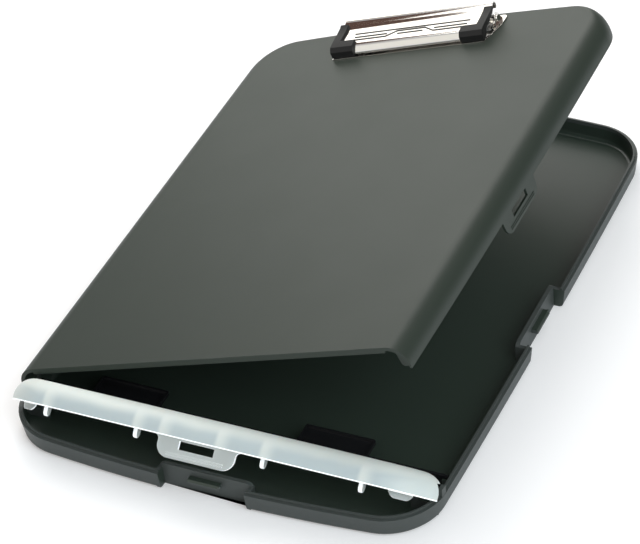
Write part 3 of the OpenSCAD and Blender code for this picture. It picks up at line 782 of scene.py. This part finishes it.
def barrels(first, r, extra=0.0, soft=0.35):
    """Every other barrel of both groups, from the first."""
    spans = [barrel_span(side, i) for side in (-1, 1) for i in range(first, BARREL_N, 2)]
    return [rod("Y", HINGE_X, HINGE_Z, lo - extra, hi + extra, r, soft, 32) for lo, hi in spans]


def barrel_room(first):
    """The room that the other piece's barrels turn in."""
    return barrels(first, BARREL_R + PASS_GAP, BARREL_GAP / 2, 0.01)


def bore(axis, a, b, lo, hi, r):
    return turned_rod(axis, a, b, [(lo, r), (hi, r)], 32)


def pin_bores():
    return [bore("Y", HINGE_X, HINGE_Z, s * BARREL_Y - BARREL_LEN / 2 - 1,
                 s * BARREL_Y + BARREL_LEN / 2 + 1, PIN_R + TURN_FIT) for s in (-1, 1)]


class CLIPBOX_OT_tray(bpy.types.Operator):
    """Makes the lower tray with its lip, latch recesses, hinge barrels and posts"""
    bl_idname = "clipbox.tray"
    bl_label = "Tray"
    bl_options = {"REGISTER", "UNDO"}

    def execute(self, context):
        tray = self.basin()
        parts = latch_wall(-FRONT_Y) + [quarter(p) for p in latch_wall(SIDE_X)]
        parts += self.posts() + barrels(0, BARREL_R)
        combined(tray, [self.lip(), self.shoulder()] + [solid("part", p) for p in parts])
        stubs = [(-POST_X - POST_T - 1, -POST_X + 1), (POST_X - 1, POST_X + POST_T + 1)]
        cut(tray, [latch_gap(-FRONT_Y), quarter(latch_gap(SIDE_X))] + barrel_room(1) + pin_bores()
            + [bore("X", FLAP_Y, FLAP_Z, lo, hi, STUB_R + TURN_FIT) for lo, hi in stubs])
        combined(tray, [solid("catch", p) for p in latch_catch(-FRONT_Y)
                        + [quarter(p) for p in latch_catch(SIDE_X)]])
        softened(tray, sizes().edge / MM)
        # Faces inside the tray and on its floor get the darker copy: painted shade in the well
        for p in tray.data.polygons:
            x, y, z = p.center / MM
            n = p.normal
            inward = n.x * x / BODY_W + n.y * y / BODY_L < -0.05
            within = TRAY_FLOOR - 0.3 < z < TRAY_H - 0.6
            p.material_index = int(within and (inward or n.z > 0.5))
        finished(tray, "tray_moulding", "tray", "tray",
                 [MAT["tray"], MAT["well"]], "tray")
        return {"FINISHED"}

    def basin(self):
        """Floor and walls, rounded at the foot outside and inside."""
        foot = [(1.3 + 3.0 * (1 - math.sin(math.radians(a))), 2.6 * (1 - math.cos(math.radians(a))))
                for a in steps(0, 90, 6)]
        outer = foot + [(0.75, 6.6), (0.0, TRAY_H)]
        r = 2.7
        cove = [(TRAY_WALL + 0.5 + r * (1 - math.sin(math.radians(a))),
                 TRAY_FLOOR + r * (1 - math.cos(math.radians(a)))) for a in steps(0, 90, 5)]
        inner = cove + [(TRAY_WALL, TRAY_H + 1)]
        basin = solid("tray", loft([at_height(plan(i), z) for i, z in outer]))
        return cut(basin, [loft([at_height(plan(i), z) for i, z in inner])])

    def lip(self):
        """The locating lip, left out along the hinge and lower at the clip."""
        lip = solid("lip", loft([at_height(plan(LIP_INSET), z)
                                 for z in (TRAY_H - 1.2, TRAY_H + LIP_H)]))
        return cut(lip, [
            loft([at_height(plan(LIP_INSET + LIP_T), z) for z in (TRAY_H - 3, TRAY_H + 6)]),
            block((-BODY_W, HINGE_X + 8), (-BODY_L, BODY_L), (0, 40)),
            block((-40, 40), (0, BODY_L), (TRAY_H + 0.6, 40))])

    def shoulder(self):
        """Two raised pieces of the wall, under the ends of the flap's hinge."""
        top = FLAP_Z - NOSE_R - PASS_GAP
        shoulder = solid("shoulder", loft([at_height(plan(0.15), z) for z in (TRAY_H - 1, top)]))
        cut(shoulder, [loft([at_height(plan(TRAY_WALL), z) for z in (TRAY_H - 2, TRAY_H + 18)])])
        keep = bundle("keep", [block(x, (FLAP_Y + PASS_GAP, SEAM_Y - 0.2), (0, top))
                               for x in ((100, 150), (-150, -100))])
        return combined(shoulder, [keep], "INTERSECT")

    def posts(self):
        """The flap's two posts, and the guides that hold the divider's ends."""
        post = [rod("X", FLAP_Y, FLAP_Z, POST_X, POST_X + POST_T, 2.5, 0.3),
                block((POST_X, POST_X + POST_T), (FLAP_Y - 2.5, FLAP_Y - 0.6), (1, FLAP_Z)),
                block((POST_X, BODY_W / 2 - 2), (FLAP_Y - 2.5, FLAP_Y - 0.9), (1, 9))]
        guide_t = 1.2
        for k in (-1, 1):
            y = DIVIDER_Y + k * (DIVIDER_T / 2 + 0.9) - guide_t / 2
            post.append(block((BODY_W / 2 - 6.5, BODY_W / 2 - 1.5), (y, y + guide_t), (1, 9.8)))
        return [mirrored(p) for p in post] + post


class CLIPBOX_OT_divider(bpy.types.Operator):
    """Makes the divider with its two hold-down tabs"""
    bl_idname = "clipbox.divider"
    bl_label = "Divider"
    bl_options = {"REGISTER", "UNDO"}

    def execute(self, context):
        low, half, corner = TRAY_FLOOR + 0.05, BODY_W / 2 - TRAY_WALL - 1.1, 4.4
        high = low + DIVIDER_H
        wall = [(-half + corner, low), (half - corner, low), (half, low + corner), (half, high),
                (-half, high), (-half, low + corner)]
        y0, y1, r = DIVIDER_Y - DIVIDER_T / 2, DIVIDER_Y + HOLD_REACH, 1.6
        ob = solid("divider", prism(wall, "Y", y0, y0 + DIVIDER_T))
        parts, pockets = [], []
        for x0 in HOLD_XS:
            x1 = x0 + HOLD_W
            outline = ([(x0, y0), (x1, y0)] + arc(x1 - r, y1 - r, r, 0, 90, 5)
                       + arc(x0 + r, y1 - r, r, 90, 180, 5))
            parts.append(prism(outline, "Z", high - HOLD_T, high))
            pockets.append(block((x0 + HOLD_RIM, x1 - HOLD_RIM), (y0 + HOLD_RIM, y1 - HOLD_RIM),
                                 (high - 1, high + 1)))
            gusset = [(DIVIDER_Y, high - HOLD_T), (DIVIDER_Y + 3, high - HOLD_T),
                      (DIVIDER_Y, high - HOLD_T - 3)]
            parts += [prism(gusset, "X", x0 + x, x0 + x + 1.2) for x in (6, HOLD_W - 7.2)]
        parts.append(block((-half + 6, half - 6), (DIVIDER_Y - 4.4, DIVIDER_Y), (low, low + 1.2)))
        combined(ob, [solid("part", p) for p in parts])
        cut(ob, pockets)
        softened(ob, 0.4, 3)
        finished(ob, "divider_moulding", "tray", "tray", MAT["divider"],
                 "divider")
        return {"FINISHED"}


# ---- lid and flap --------------------------------------------------------

def skirt(t, step_t):
    """The straight foot of a cover's edge, stepped inside to clear the tray's lip."""
    return [(step_t, SHELL_Z), (step_t, SHELL_Z + LIP_H + 0.1), (t, SHELL_Z + LIP_H + 0.5)]


def rolled(t, angles):
    """The rolled edge of a cover, t inside its outer face, as (inset, height)."""
    return [(t + (EDGE_R - t) * (1 - math.cos(math.radians(a))),
             EDGE_Z + (EDGE_R - t) * math.sin(math.radians(a))) for a in angles]


def leaned(t, angles):
    """The insets of the same rings at the clip end, whose edge leans in less."""
    return [t + (BACK_LEAN - t) * (1 - math.cos(math.radians(a))) for a in angles]


RIB_IN, RIB_OUT, RIB_TOP = 9.4, 4.4, 75
FINGER_TIP = ((7.7, 0.2), (6.7, 0.0), (5.8, 0.3), (4.9, 1.2), (4.5, 2.4))


def rib(t, start, tip, place, lean=EDGE_R):
    """A rib inside a shell, put in place by a function of (across, inset)."""
    r, w, half = EDGE_R - 0.6 * t, lean - 0.6 * t, sizes().rib / MM / 2
    low = max(start, SHELL_Z + LIP_H + 0.4)
    top = EDGE_Z + r * math.sin(math.radians(RIB_TOP))
    pts = [(0.6 * t, low)]
    pts += [(0.6 * t + w * (1 - math.cos(math.radians(a))), EDGE_Z + r * math.sin(math.radians(a)))
            for a in steps(0, RIB_TOP, 8)]
    pts += [(EDGE_R + 0.4, top), (RIB_IN + 0.5, EDGE_Z + 3.6), (RIB_IN, start)]
    if tip:
        pts += [(9.2, tip + 2.2), (8.6, tip + 0.9)] + [(i, tip + z) for i, z in FINGER_TIP]
    pts += [(RIB_OUT, start), (RIB_OUT - 0.5, low)]
    return loft([[(*place(d, i), z) for i, z in pts] for d in (-half, half)])


def finger(start, tip, place, half=1.3):
    """The thicker rounded end of a rib, below the edge."""
    pts = [(RIB_IN, start + 2), (RIB_IN, start), (9.2, tip + 2.4), (8.6, tip + 1.0)]
    pts += [(i, tip + z) for i, z in FINGER_TIP] + [(RIB_OUT, start), (RIB_OUT, start + 2)]
    return softened(solid("finger", loft([[(*place(d, i), z) for i, z in pts]
                                          for d in (-half, half)])), 0.5)


class CLIPBOX_OT_lid(bpy.types.Operator):
    """Makes the writing lid with its rolled edge, ribs, latch tab and hinge barrels"""
    bl_idname = "clipbox.lid"
    bl_label = "Lid"
    bl_options = {"REGISTER", "UNDO"}

    def execute(self, context):
        angles = steps(0, 90, sizes().roll_steps)
        outer, inner = [], []
        for t, step_t, rings in ((0, 0, outer), (LID_T, SKIRT_T, inner)):
            low, top = skirt(t, step_t), rolled(t, angles)
            backs = [i for i, _ in low] + leaned(t, angles)
            rings += [at_height(lid_outline(i, b), z) for (i, z), b in zip(low + top, backs)]
        lid = solid("lid", shell(outer, inner, 2 + len(angles)))
        tab = latch_tab(SIDE_X)
        tab.data.transform(Matrix.Rotation(math.radians(90), 4, "Z"))
        parts = self.ribs() + barrels(1, BARREL_R) + self.barrel_arms()
        combined(lid, [tab] + [solid("part", p) for p in parts])
        cut(lid, barrel_room(0) + pin_bores()
            + [bore("Z", CLIP_X + s * RIVET_X, CLIP_Y + RIVET_Y, CLOSED_H - 5, CLOSED_H + 2,
                    RIVET_HOLE_R) for s in (-1, 1)])
        softened(lid, sizes().edge / MM)
        finished(lid, "lid_moulding", "lid", "lid", MAT["lid"], "lid")
        return {"FINISHED"}

    def ribs(self):
        """A stiffening bar behind the seam, and ribs with short fingers round the other sides."""
        under = CLOSED_H - LID_T
        parts = [block((-BODY_W / 2 + EDGE_R, BODY_W / 2 - EDGE_R), (SEAM_Y + 0.3, SEAM_Y + 1.9),
                       (under - 1.6, under + 0.5))]
        start, tip = SHELL_Z + LIP_H + 0.4, SHELL_Z - 2.4
        for y in LID_RIB_YS:
            x = BODY_W / 2 + SIDE_BOW * (1 - (2 * y / BODY_L) ** 2)
            parts.append(rib(LID_T, start, tip, lambda d, i, x=x, y=y: (x - i, y + d)))
        for x in LID_RIB_XS:
            y = -FRONT_LINE + BACK_BOW * (1 - (2 * x / BODY_W) ** 2)
            parts.append(rib(LID_T, start, tip, lambda d, i, x=x, y=y: (x + d, y - i), BACK_LEAN))
        return parts

    def barrel_arms(self):
        """Short arms that join the lid's barrels to its edge."""
        x, z = (HINGE_X - 1.6, HINGE_X + 1.6), (HINGE_Z, HINGE_Z + 4.2)
        return [block(x, barrel_span(side, i), z)
                for side in (-1, 1) for i in range(1, BARREL_N, 2)]


def rear_of(z, r):
    """The flap's rear edge at a height: upright, then round the nose that turns about the hinge."""
    if z < FLAP_Z - 0.01:
        return FLAP_Y
    return FLAP_Y + math.sqrt(max(0, r * r - (z - FLAP_Z) ** 2))


FLAP_LOW_STEPS, FLAP_TOP_STEPS = 8, 10


def flap_angles(r):
    """Steps of the flap's rolled edge, with a ring just under and at the height of its hinge."""
    low, mid = (math.degrees(math.asin((z - EDGE_Z) / r)) for z in (FLAP_Z - 0.3, FLAP_Z))
    return steps(0, low, FLAP_LOW_STEPS) + steps(mid, 90, FLAP_TOP_STEPS)


class CLIPBOX_OT_flap(bpy.types.Operator):
    """Makes the frosted flap of the pen compartment with its ribs, ears and latch tab"""
    bl_idname = "clipbox.flap"
    bl_label = "Pen flap"
    bl_options = {"REGISTER", "UNDO"}

    def execute(self, context):
        outer = [at_height(flap_outline(i, rear_of(z, NOSE_R)), z)
                 for i, z in skirt(0, 0) + rolled(0, flap_angles(EDGE_R))]
        inner = [at_height(flap_outline(i, rear_of(z, NOSE_R - FLAP_T)), z)
                 for i, z in skirt(FLAP_T, SKIRT_T) + rolled(FLAP_T, flap_angles(EDGE_R - FLAP_T))]
        flap = solid("flap", shell(outer, inner, len(skirt(0, 0)) + FLAP_LOW_STEPS + 1))
        parts, others = [], [latch_tab(-FRONT_Y, 0.55)]
        for x in FLAP_RIBS:
            clear = abs(x) > GAP_W / 2 + TRAY_WALL + 1
            start, tip = SHELL_Z + (0.1 if clear else LIP_H + 1), SHELL_Z - 5.0 if clear else 0

            def place(d, i, x=x):
                return x + d, front_at(x) + i
            parts.append(rib(FLAP_T, start, tip, place))
            if clear:
                others.append(finger(start, tip, place))
        others += [self.end_tab(s) for s in (-1, 1)]
        ear = [rod("X", FLAP_Y, FLAP_Z, EAR_X, EAR_X + EAR_T, NOSE_R - 0.2, 0.3),
               rod("X", FLAP_Y + 2.2, FLAP_Z - 2.9, EAR_X, EAR_X + EAR_T, 3.6, 0.3),
               rod("X", FLAP_Y, FLAP_Z, EAR_X - POST_T, EAR_X + 1, STUB_R, 0.2)]
        parts += ear + [mirrored(p) for p in ear]
        combined(flap, others + [solid("part", p) for p in parts])
        softened(flap, 0.2)
        self.faces(flap.data)
        finished(flap, "flap_moulding", "flap", "flap",
                 [MAT["flap"], MAT["flap_tab"], MAT["flap_edge"]], "pen_flap")
        return {"FINISHED"}

    def end_tab(self, side):
        """A broad curved locating tab inside a front corner of the flap."""
        cx, cy, r, t = BODY_W / 2 - CORNER_R, -BODY_L / 2 + CORNER_R, CORNER_R - 6.4, 1.3
        first, last = -70, -34
        middle, half = (first + last) / 2, (last - first) / 2
        foot, top = SHELL_Z - 0.2, 24.3
        rings = []
        for a in steps(first, last, 12):
            u, v = math.cos(math.radians(a)), math.sin(math.radians(a))
            low = 9.0 + 10.0 * max(0, abs(a - middle) / half - 0.45) ** 2
            section = ((r, low), (r - t, low), (r - t, foot), (r - t, top), (r, top), (r, foot))
            rings.append([(side * (cx + k * u), cy + k * v, z) for k, z in section])
        return softened(solid("end_tab", loft(rings)), 0.35)

    def faces(self, me):
        """Gives the clear tabs and fingers their own finish, and the cut edges a painted glow."""
        sheet, clear, painted_glow = range(3)
        for p in me.polygons:
            x, y, z = p.center / MM
            n = p.normal
            below = z < SHELL_Z - 0.15
            if below and abs(x) < 28 and y < FRONT_Y + 4:
                p.material_index = clear if abs(n.y) > 0.95 else painted_glow
            elif below and abs(n.z) < 0.5:
                p.material_index = clear if abs(n.x) > 0.6 or abs(x) > 100 or n.y > 0 else painted_glow
            elif below or (z < SHELL_Z + 0.35 and n.z < -0.2):
                p.material_index = painted_glow
            else:
                p.material_index = sheet


# ---- hinge pins and clip -------------------------------------------------

class CLIPBOX_OT_pins(bpy.types.Operator):
    """Makes the two pins of the lid's hinge"""
    bl_idname = "clipbox.pins"
    bl_label = "Hinge pins"
    bl_options = {"REGISTER", "UNDO"}

    def execute(self, context):
        for name, s in (("front_hinge_pin", -1), ("rear_hinge_pin", 1)):
            lo, hi = s * BARREL_Y - BARREL_LEN / 2 + 0.6, s * BARREL_Y + BARREL_LEN / 2 - 0.6
            ob = softened(solid(name, rod("Y", HINGE_X, HINGE_Z, lo, hi, PIN_R, 0.3, 32)), 0)
            finished(ob, name + "_steel", "tray", "tray", MAT["steel"], name)
        return {"FINISHED"}


def jaw_path():
    """The underside of the bent sheet, from the mouth to the roll, with rounded bends."""
    pts = [(1, 1.8), (1.4, 3.6), (3, 5.4), (6.2, 6.3), (13.5, 7.1), (18, 7.6), (22, 8.8)]
    for _ in range(3):
        new = [pts[0]]
        for a, b in zip(pts, pts[1:]):
            new += [(a[0] * 0.75 + b[0] * 0.25, a[1] * 0.75 + b[1] * 0.25),
                    (a[0] * 0.25 + b[0] * 0.75, a[1] * 0.25 + b[1] * 0.75)]
        pts = new + [pts[-1]]
    return pts + arc(26.5, 8.2, 2.0, 135, -67.5, 14)


def sheet(path, t):
    """The outline of a bent sheet t thick, whose underside follows a path."""
    def normal(i):
        a, b = path[max(i - 1, 0)], path[min(i + 1, len(path) - 1)]
        d = math.hypot(b[0] - a[0], b[1] - a[1])
        return -(b[1] - a[1]) / d, (b[0] - a[0]) / d
    return path + [(p[0] + t * normal(i)[0], p[1] + t * normal(i)[1])
                   for i, p in reversed(list(enumerate(path)))]


def plate(outline, x):
    """An upright piece of the pressed steel about x, from its outline from the side."""
    return prism(outline, "X", x - SHEET_T / 2, x + SHEET_T / 2)


class CLIPBOX_OT_clip(bpy.types.Operator):
    """Makes the clip's base plate, its sprung jaw and the rod between them"""
    bl_idname = "clipbox.clip"
    bl_label = "Clip"
    bl_options = {"REGISTER", "UNDO"}

    def execute(self, context):
        ear_x = CLIP_W / 2 - EAR_IN
        self.pressed(self.base_parts(ear_x), "base", "clip_base_plate", "lid", "clip_base",
                     [bore("Z", s * RIVET_X, RIVET_Y, -3, 3, RIVET_HOLE_R) for s in (-1, 1)])
        self.pressed(self.jaw_parts(), "jaw", "clip_jaw_sheet", "jaw", "clip_jaw", [])
        self.ridges()
        self.cross_rod(ear_x + SHEET_T / 2 + 0.5)
        return {"FINISHED"}

    def pressed(self, parts, first, name, body, replaces, holes):
        """A piece of pressed steel with a bore for the rod."""
        ob = cut(united(first, parts),
                 [bore("X", ROD_Y, ROD_Z, -CLIP_W, CLIP_W, ROD_R + TURN_FIT)] + holes)
        softened(ob, sizes().sheet_edge / MM)
        finished(ob, name, "clip", body, MAT["plating"], replaces)

    def base_parts(self, ear_x):
        """The base plate, wider at its back, with an ear for the rod at each end."""
        w, d, r, lip, waist = CLIP_W / 2, CLIP_D, 3, -CLIP_LIP, 15
        outline = ([(-w + 5, lip), (w - 5, lip), (w, waist)] + arc(w - r, d - r, r, 0, 90, 6)
                   + arc(-w + r, d - r, r, 90, 180, 6) + [(-w, waist)])
        ear = [(ROD_Y - 6, 0), (ROD_Y + 6, 0)] + arc(ROD_Y, ROD_Z, ROD_R + 2, -5, 185, 14)
        return [prism(outline, "Z", 0, SHEET_T)] + [plate(ear, s * ear_x) for s in (-1, 1)]

    def jaw_parts(self):
        """The bent sheet of the jaw, with a cheek at each end that turns on the rod."""
        half = JAW_W / 2
        cheek = ([(10, 6.8)] + arc(ROD_Y, ROD_Z, ROD_R + 1.6, 180, 360, 14)
                 + [(24.4, 9.6), (22, 9.0), (18, 7.9), (13.5, 7.4)])
        return [prism(sheet(jaw_path(), SHEET_T), "X", -half, half)] + [
            plate(cheek, s * (half - SHEET_T / 2)) for s in (-1, 1)]

    def cross_rod(self, end):
        """The rod, with a flat head at each end."""
        heads = [rod("X", ROD_Y, ROD_Z, *sorted((s * end - 0.4, s * end + 0.4)), ROD_R + 0.9, 0.3)
                 for s in (-1, 1)]
        ob = united("rod", [rod("X", ROD_Y, ROD_Z, -end, end, ROD_R, 0.2)] + heads)
        softened(ob, 0)
        finished(ob, "clip_rod_steel", "clip", "lid", MAT["plating"], "clip_rod")

    def ridges(self):
        """Plain pressed lines on the jaw's sloping flat, dark with painted shadow."""
        def on_flat(x, t):
            y = 6.4 + 7.2 * t
            return (x, y, 6.30 + SHEET_T + (y - 6.2) * 0.11)
        runs = [[on_flat(x, t) for x, t in pts] for pts in (
            [(-41, 0.2), (-17, 0.2), (-10, 0.75), (10, 0.75), (17, 0.2), (41, 0.2)],
            [(-9, 0.38), (9, 0.38)], [(-40, 0.55), (-17, 0.55)], [(17, 0.55), (40, 0.55)],
            [(-41, 1.0), (41, 1.0)])]
        dense = []
        for run in runs:
            pts = []
            for a, b in zip(run, run[1:]):
                pts += [tuple(a[k] + (b[k] - a[k]) * i / 8 for k in range(3)) for i in range(8)]
            dense.append(pts + [run[-1]])
        ob = softened(bundle("ridges", [wire(p, 0.5, 8) for p in dense]), 0, sharp=60)
        finished(ob, "clip_jaw_ridges", "clip", "jaw", MAT["groove"])


class CLIPBOX_OT_springs(bpy.types.Operator):
    """Makes the two torsion springs on the clip's rod"""
    bl_idname = "clipbox.springs"
    bl_label = "Springs"
    bl_options = {"REGISTER", "UNDO"}

    def execute(self, context):
        r, n = ROD_R + 0.8, 28
        line = [(0, y, -r) for y in (-7, -5, -3, -1)]
        for i in range(int(COIL_TURNS * n) + 1):
            a = math.radians(-90 + 360 * i / n)
            line.append((COIL_PITCH * i / n, r * math.cos(a), r * math.sin(a)))
        end = COIL_PITCH * COIL_TURNS
        line += [(end, r + 0.1, 0.6), (end, r + 0.2, 1.2)]
        for name, s in (("left_spring", 1), ("right_spring", -1)):
            pts = [(s * (x - JAW_W / 2 + 2), y + ROD_Y, z + ROD_Z) for x, y, z in line]
            ob = softened(solid(name, wire(pts, WIRE_R, 12)), 0, sharp=60)
            finished(ob, name + "_wire", "clip", "lid", MAT["steel"], name)
        return {"FINISHED"}


class CLIPBOX_OT_grips(bpy.types.Operator):
    """Makes the two corner grips on the jaw"""
    bl_idname = "clipbox.grips"
    bl_label = "Grips"
    bl_options = {"REGISTER", "UNDO"}

    def execute(self, context):
        nose = [(-0.9, 1.1), (-0.9, 5), (1.2, 7.6), (6, 8.6)]
        front = nose + [(6.6, 8.6), (6.6, 5), (3.8, 4), (3.2, 1.1)]
        side = nose + [(13.5, 9.4), (18.6, 10.2), (21.4, 11.2), (22, 9.2), (18.2, 7.5), (14, 6.4),
                       (6.6, 4.6), (3.2, 1.1)]
        x0 = -JAW_W / 2 - 1.6
        for name, s in (("left_grip", 1), ("right_grip", -1)):
            parts = [prism(front, "X", x0, x0 + 16), prism(side, "X", x0, x0 + 5.4)]
            ob = united(name, parts if s > 0 else [mirrored(p) for p in parts])
            softened(ob, 0.45, 3)
            finished(ob, name + "_rubber", "clip", "jaw", MAT["grip"], name)
        return {"FINISHED"}


class CLIPBOX_OT_rivets(bpy.types.Operator):
    """Makes the two rivets and their backing washers"""
    bl_idname = "clipbox.rivets"
    bl_label = "Rivets and washers"
    bl_options = {"REGISTER", "UNDO"}

    def execute(self, context):
        low, top = -LID_T - SHEET_T, SHEET_T
        shank = [(low - 0.7, 2.4), (low - 0.5, 2.8), (low - 0.05, 2.9), (low, RIVET_R),
                 (top, RIVET_R), (top, 3.3), (top + 0.3, 3.35), (top + 0.7, 2.8), (top + 0.9, 2.0)]
        ring = [(low, 2.0), (low, 4.9), (low + 0.15, 5.1), (low + SHEET_T - 0.15, 5.1),
                (low + SHEET_T, 4.95), (low + SHEET_T, 2.0)]
        for name, s in (("left", -1), ("right", 1)):
            x = s * RIVET_X
            ob = softened(solid(name, turned_rod("Z", x, RIVET_Y, shank)), 0)
            finished(ob, name + "_rivet_steel", "clip", "lid", MAT["plating"],
                     name + "_rivet")
            ob = softened(solid(name, ring_body(x, RIVET_Y, ring)), 0)
            finished(ob, name + "_washer_steel", "clip", "lid", MAT["steel"],
                     name + "_washer")
        return {"FINISHED"}


# ---- stage ---------------------------------------------------------------

# The floor, in millimetres, and how bright it looks where the light misses it
FLOOR_Z, FLOOR_HALF, FLOOR_GLOW = -0.2, 6000, 0.19

# Lamps: place and aim in metres, size in metres, power in watts, and tint
LAMPS = (
    ("Key", (-0.9, 0.9, 1.9), (0, 0, 0), 1.4, 22.0, (1.0, 0.99, 0.97)),
    ("Fill", (1.6, -0.9, 1.4), (0, 0, 0), 1.6, 28.0, (0.82, 0.93, 1.0)),
    ("Softbox", (-0.46, 0.78, 0.36), (0, 0.1, 0.08), 0.6, 2.25, (1.0, 1.0, 0.96)),
)

# The room that shines in the plating, as shades from below (0) to above (1)
ROOM = ((0.0, (0.9, 0.9, 0.9)), (0.10, (0.3, 0.31, 0.31)), (0.36, (0.14, 0.14, 0.13)),
        (0.41, (0.30, 0.17, 0.13)), (0.56, (0.16, 0.09, 0.07)), (0.62, (1.0, 1.0, 1.0)),
        (0.78, (1.2, 1.2, 1.2)), (0.86, (0.3, 0.3, 0.3)))
ROOM_FRONT, ROOM_AROUND = (1.6, 1.58, 1.5, 1), (0.985, 0.985, 0.98, 1)

# Camera: turn, height and roll in degrees, what it looks at and its distance in metres
CAM_TURN, CAM_DOWN, CAM_ROLL = 27.80, 38.99, -6.15
CAM_TARGET, CAM_AWAY, CAM_LENS = (-0.01865, 0.01146, 0), 1.808, 172.35


class CLIPBOX_OT_stage(bpy.types.Operator):
    """Makes the pale floor, the soft lights and the camera"""
    bl_idname = "clipbox.stage"
    bl_label = "Stage"
    bl_options = {"REGISTER", "UNDO"}

    def execute(self, context):
        self.floor()
        self.lights()
        self.camera()
        return {"FINISHED"}

    def floor(self):
        """A wide pale floor that is clear from below."""
        a, z = FLOOR_HALF, FLOOR_Z
        ob = solid("floor", ([(-a, -a, z), (a, -a, z), (a, a, z), (-a, a, z)], [(0, 1, 2, 3)]))
        m, t, b = plain_material("Pale Floor")
        b.inputs["Base Color"].default_value = (*colours().floor, 1)
        b.inputs["Roughness"].default_value = 0.9
        b.inputs["Specular IOR Level"].default_value = 0.1
        rays = add(t, "ShaderNodeLightPath").outputs
        seen = maths(t, "MAXIMUM", rays["Is Camera Ray"], rays["Is Transmission Ray"])
        glow = add(t, "ShaderNodeEmission", Color=(1.0, 0.94, 0.89, 1),
                   Strength=maths(t, "MULTIPLY", seen, FLOOR_GLOW))
        both = add(t, "ShaderNodeAddShader", {0: b.outputs[0], 1: glow.outputs[0]})
        from_below = add(t, "ShaderNodeNewGeometry").outputs["Backfacing"]
        clear = add(t, "ShaderNodeBsdfTransparent").outputs[0]
        floor = add(t, "ShaderNodeMixShader", {0: from_below, 1: both.outputs[0], 2: clear})
        feed(t, t.nodes["Material Output"].inputs["Surface"], floor.outputs[0])
        ob.data.materials.append(m)

    def lights(self):
        w = bpy.data.worlds.new("Soft Room")
        bpy.context.scene.world = w
        w.use_nodes = True
        self.room(w.node_tree)
        for name, at, aim, size, power, tint in LAMPS:
            lamp = bpy.data.lights.new(name, "AREA")
            lamp.size, lamp.energy, lamp.color = size, power, tint
            ob = bpy.data.objects.new(name, lamp)
            ob.location = at
            ob.rotation_euler = (Vector(aim) - Vector(at)).to_track_quat("-Z", "Y").to_euler()
            bpy.context.scene.collection.objects.link(ob)
        bpy.context.scene.view_settings.view_transform = "Standard"

    def room(self, t):
        """Plain pale light, with a darker room and a brown card for what shines."""
        back = t.nodes["Background"]
        back.inputs["Strength"].default_value = 0.6
        at = add(t, "ShaderNodeTexCoord").outputs["Generated"]
        xyz = add(t, "ShaderNodeSeparateXYZ", {0: at}).outputs
        ramp = add(t, "ShaderNodeValToRGB", Fac=xyz["Z"])
        while len(ramp.color_ramp.elements) < len(ROOM):
            ramp.color_ramp.elements.new(0.5)
        for e, (place, shade) in zip(ramp.color_ramp.elements, ROOM):
            e.position, e.color = place, (*shade, 1)
        shine = blended(t, smooth(t, xyz["Y"], -0.15, 0.1), ROOM_FRONT, ramp.outputs["Color"])
        glossy = add(t, "ShaderNodeLightPath").outputs["Is Glossy Ray"]
        feed(t, back.inputs["Color"], blended(t, glossy, ROOM_AROUND, shine))

    def camera(self):
        az, el, roll = (math.radians(a) for a in (CAM_TURN, CAM_DOWN, CAM_ROLL))
        look = Vector((-math.sin(az) * math.cos(el), math.cos(az) * math.cos(el), -math.sin(el)))
        right = Vector((math.cos(az), math.sin(az), 0))
        up = right.cross(look)
        right, up = (math.cos(roll) * right + math.sin(roll) * up,
                     math.cos(roll) * up - math.sin(roll) * right)
        cam = bpy.data.cameras.new("Camera")
        cam.sensor_width, cam.lens, cam.clip_end = 36.0, CAM_LENS, 20.0
        ob = bpy.data.objects.new("Camera", cam)
        at = Vector(CAM_TARGET) - look * CAM_AWAY
        ob.matrix_world = Matrix((
            (right.x, up.x, -look.x, at.x), (right.y, up.y, -look.y, at.y),
            (right.z, up.z, -look.z, at.z), (0, 0, 0, 1)))
        bpy.context.scene.collection.objects.link(ob)
        bpy.context.scene.camera = ob


STEPS = (CLIPBOX_OT_finishes, CLIPBOX_OT_tray, CLIPBOX_OT_divider, CLIPBOX_OT_lid, CLIPBOX_OT_flap,
         CLIPBOX_OT_pins, CLIPBOX_OT_clip, CLIPBOX_OT_springs, CLIPBOX_OT_grips, CLIPBOX_OT_rivets,
         CLIPBOX_OT_stage)


class CLIPBOX_PT_panel(bpy.types.Panel):
    """Lists the sizes, the colours and the steps of the build"""
    bl_idname = "CLIPBOX_PT_panel"
    bl_label = "Clipboard Box"
    bl_space_type = "VIEW_3D"
    bl_region_type = "UI"
    bl_category = "Clipboard Box"

    def draw(self, context):
        for settings in (context.scene.box_sizes, context.scene.box_colours):
            column = self.layout.column(align=True)
            for name in settings.bl_rna.properties.keys():
                if name not in ("rna_type", "name"):
                    column.prop(settings, name)
        column = self.layout.column(align=True)
        for step in STEPS:
            column.operator(step.bl_idname)


CLASSES = (BoxSizes, BoxColours) + STEPS + (CLIPBOX_PT_panel,)


def register():
    for c in CLASSES:
        bpy.utils.register_class(c)
    bpy.types.Scene.box_sizes = bpy.props.PointerProperty(type=BoxSizes)
    bpy.types.Scene.box_colours = bpy.props.PointerProperty(type=BoxColours)


def unregister():
    del bpy.types.Scene.box_colours
    del bpy.types.Scene.box_sizes
    for c in reversed(CLASSES):
        bpy.utils.unregister_class(c)


def main():
    register()
    for step in STEPS:
        name = step.bl_idname.split(".")[1]
        getattr(bpy.ops.clipbox, name)()


if __name__ == "__main__":
    main()
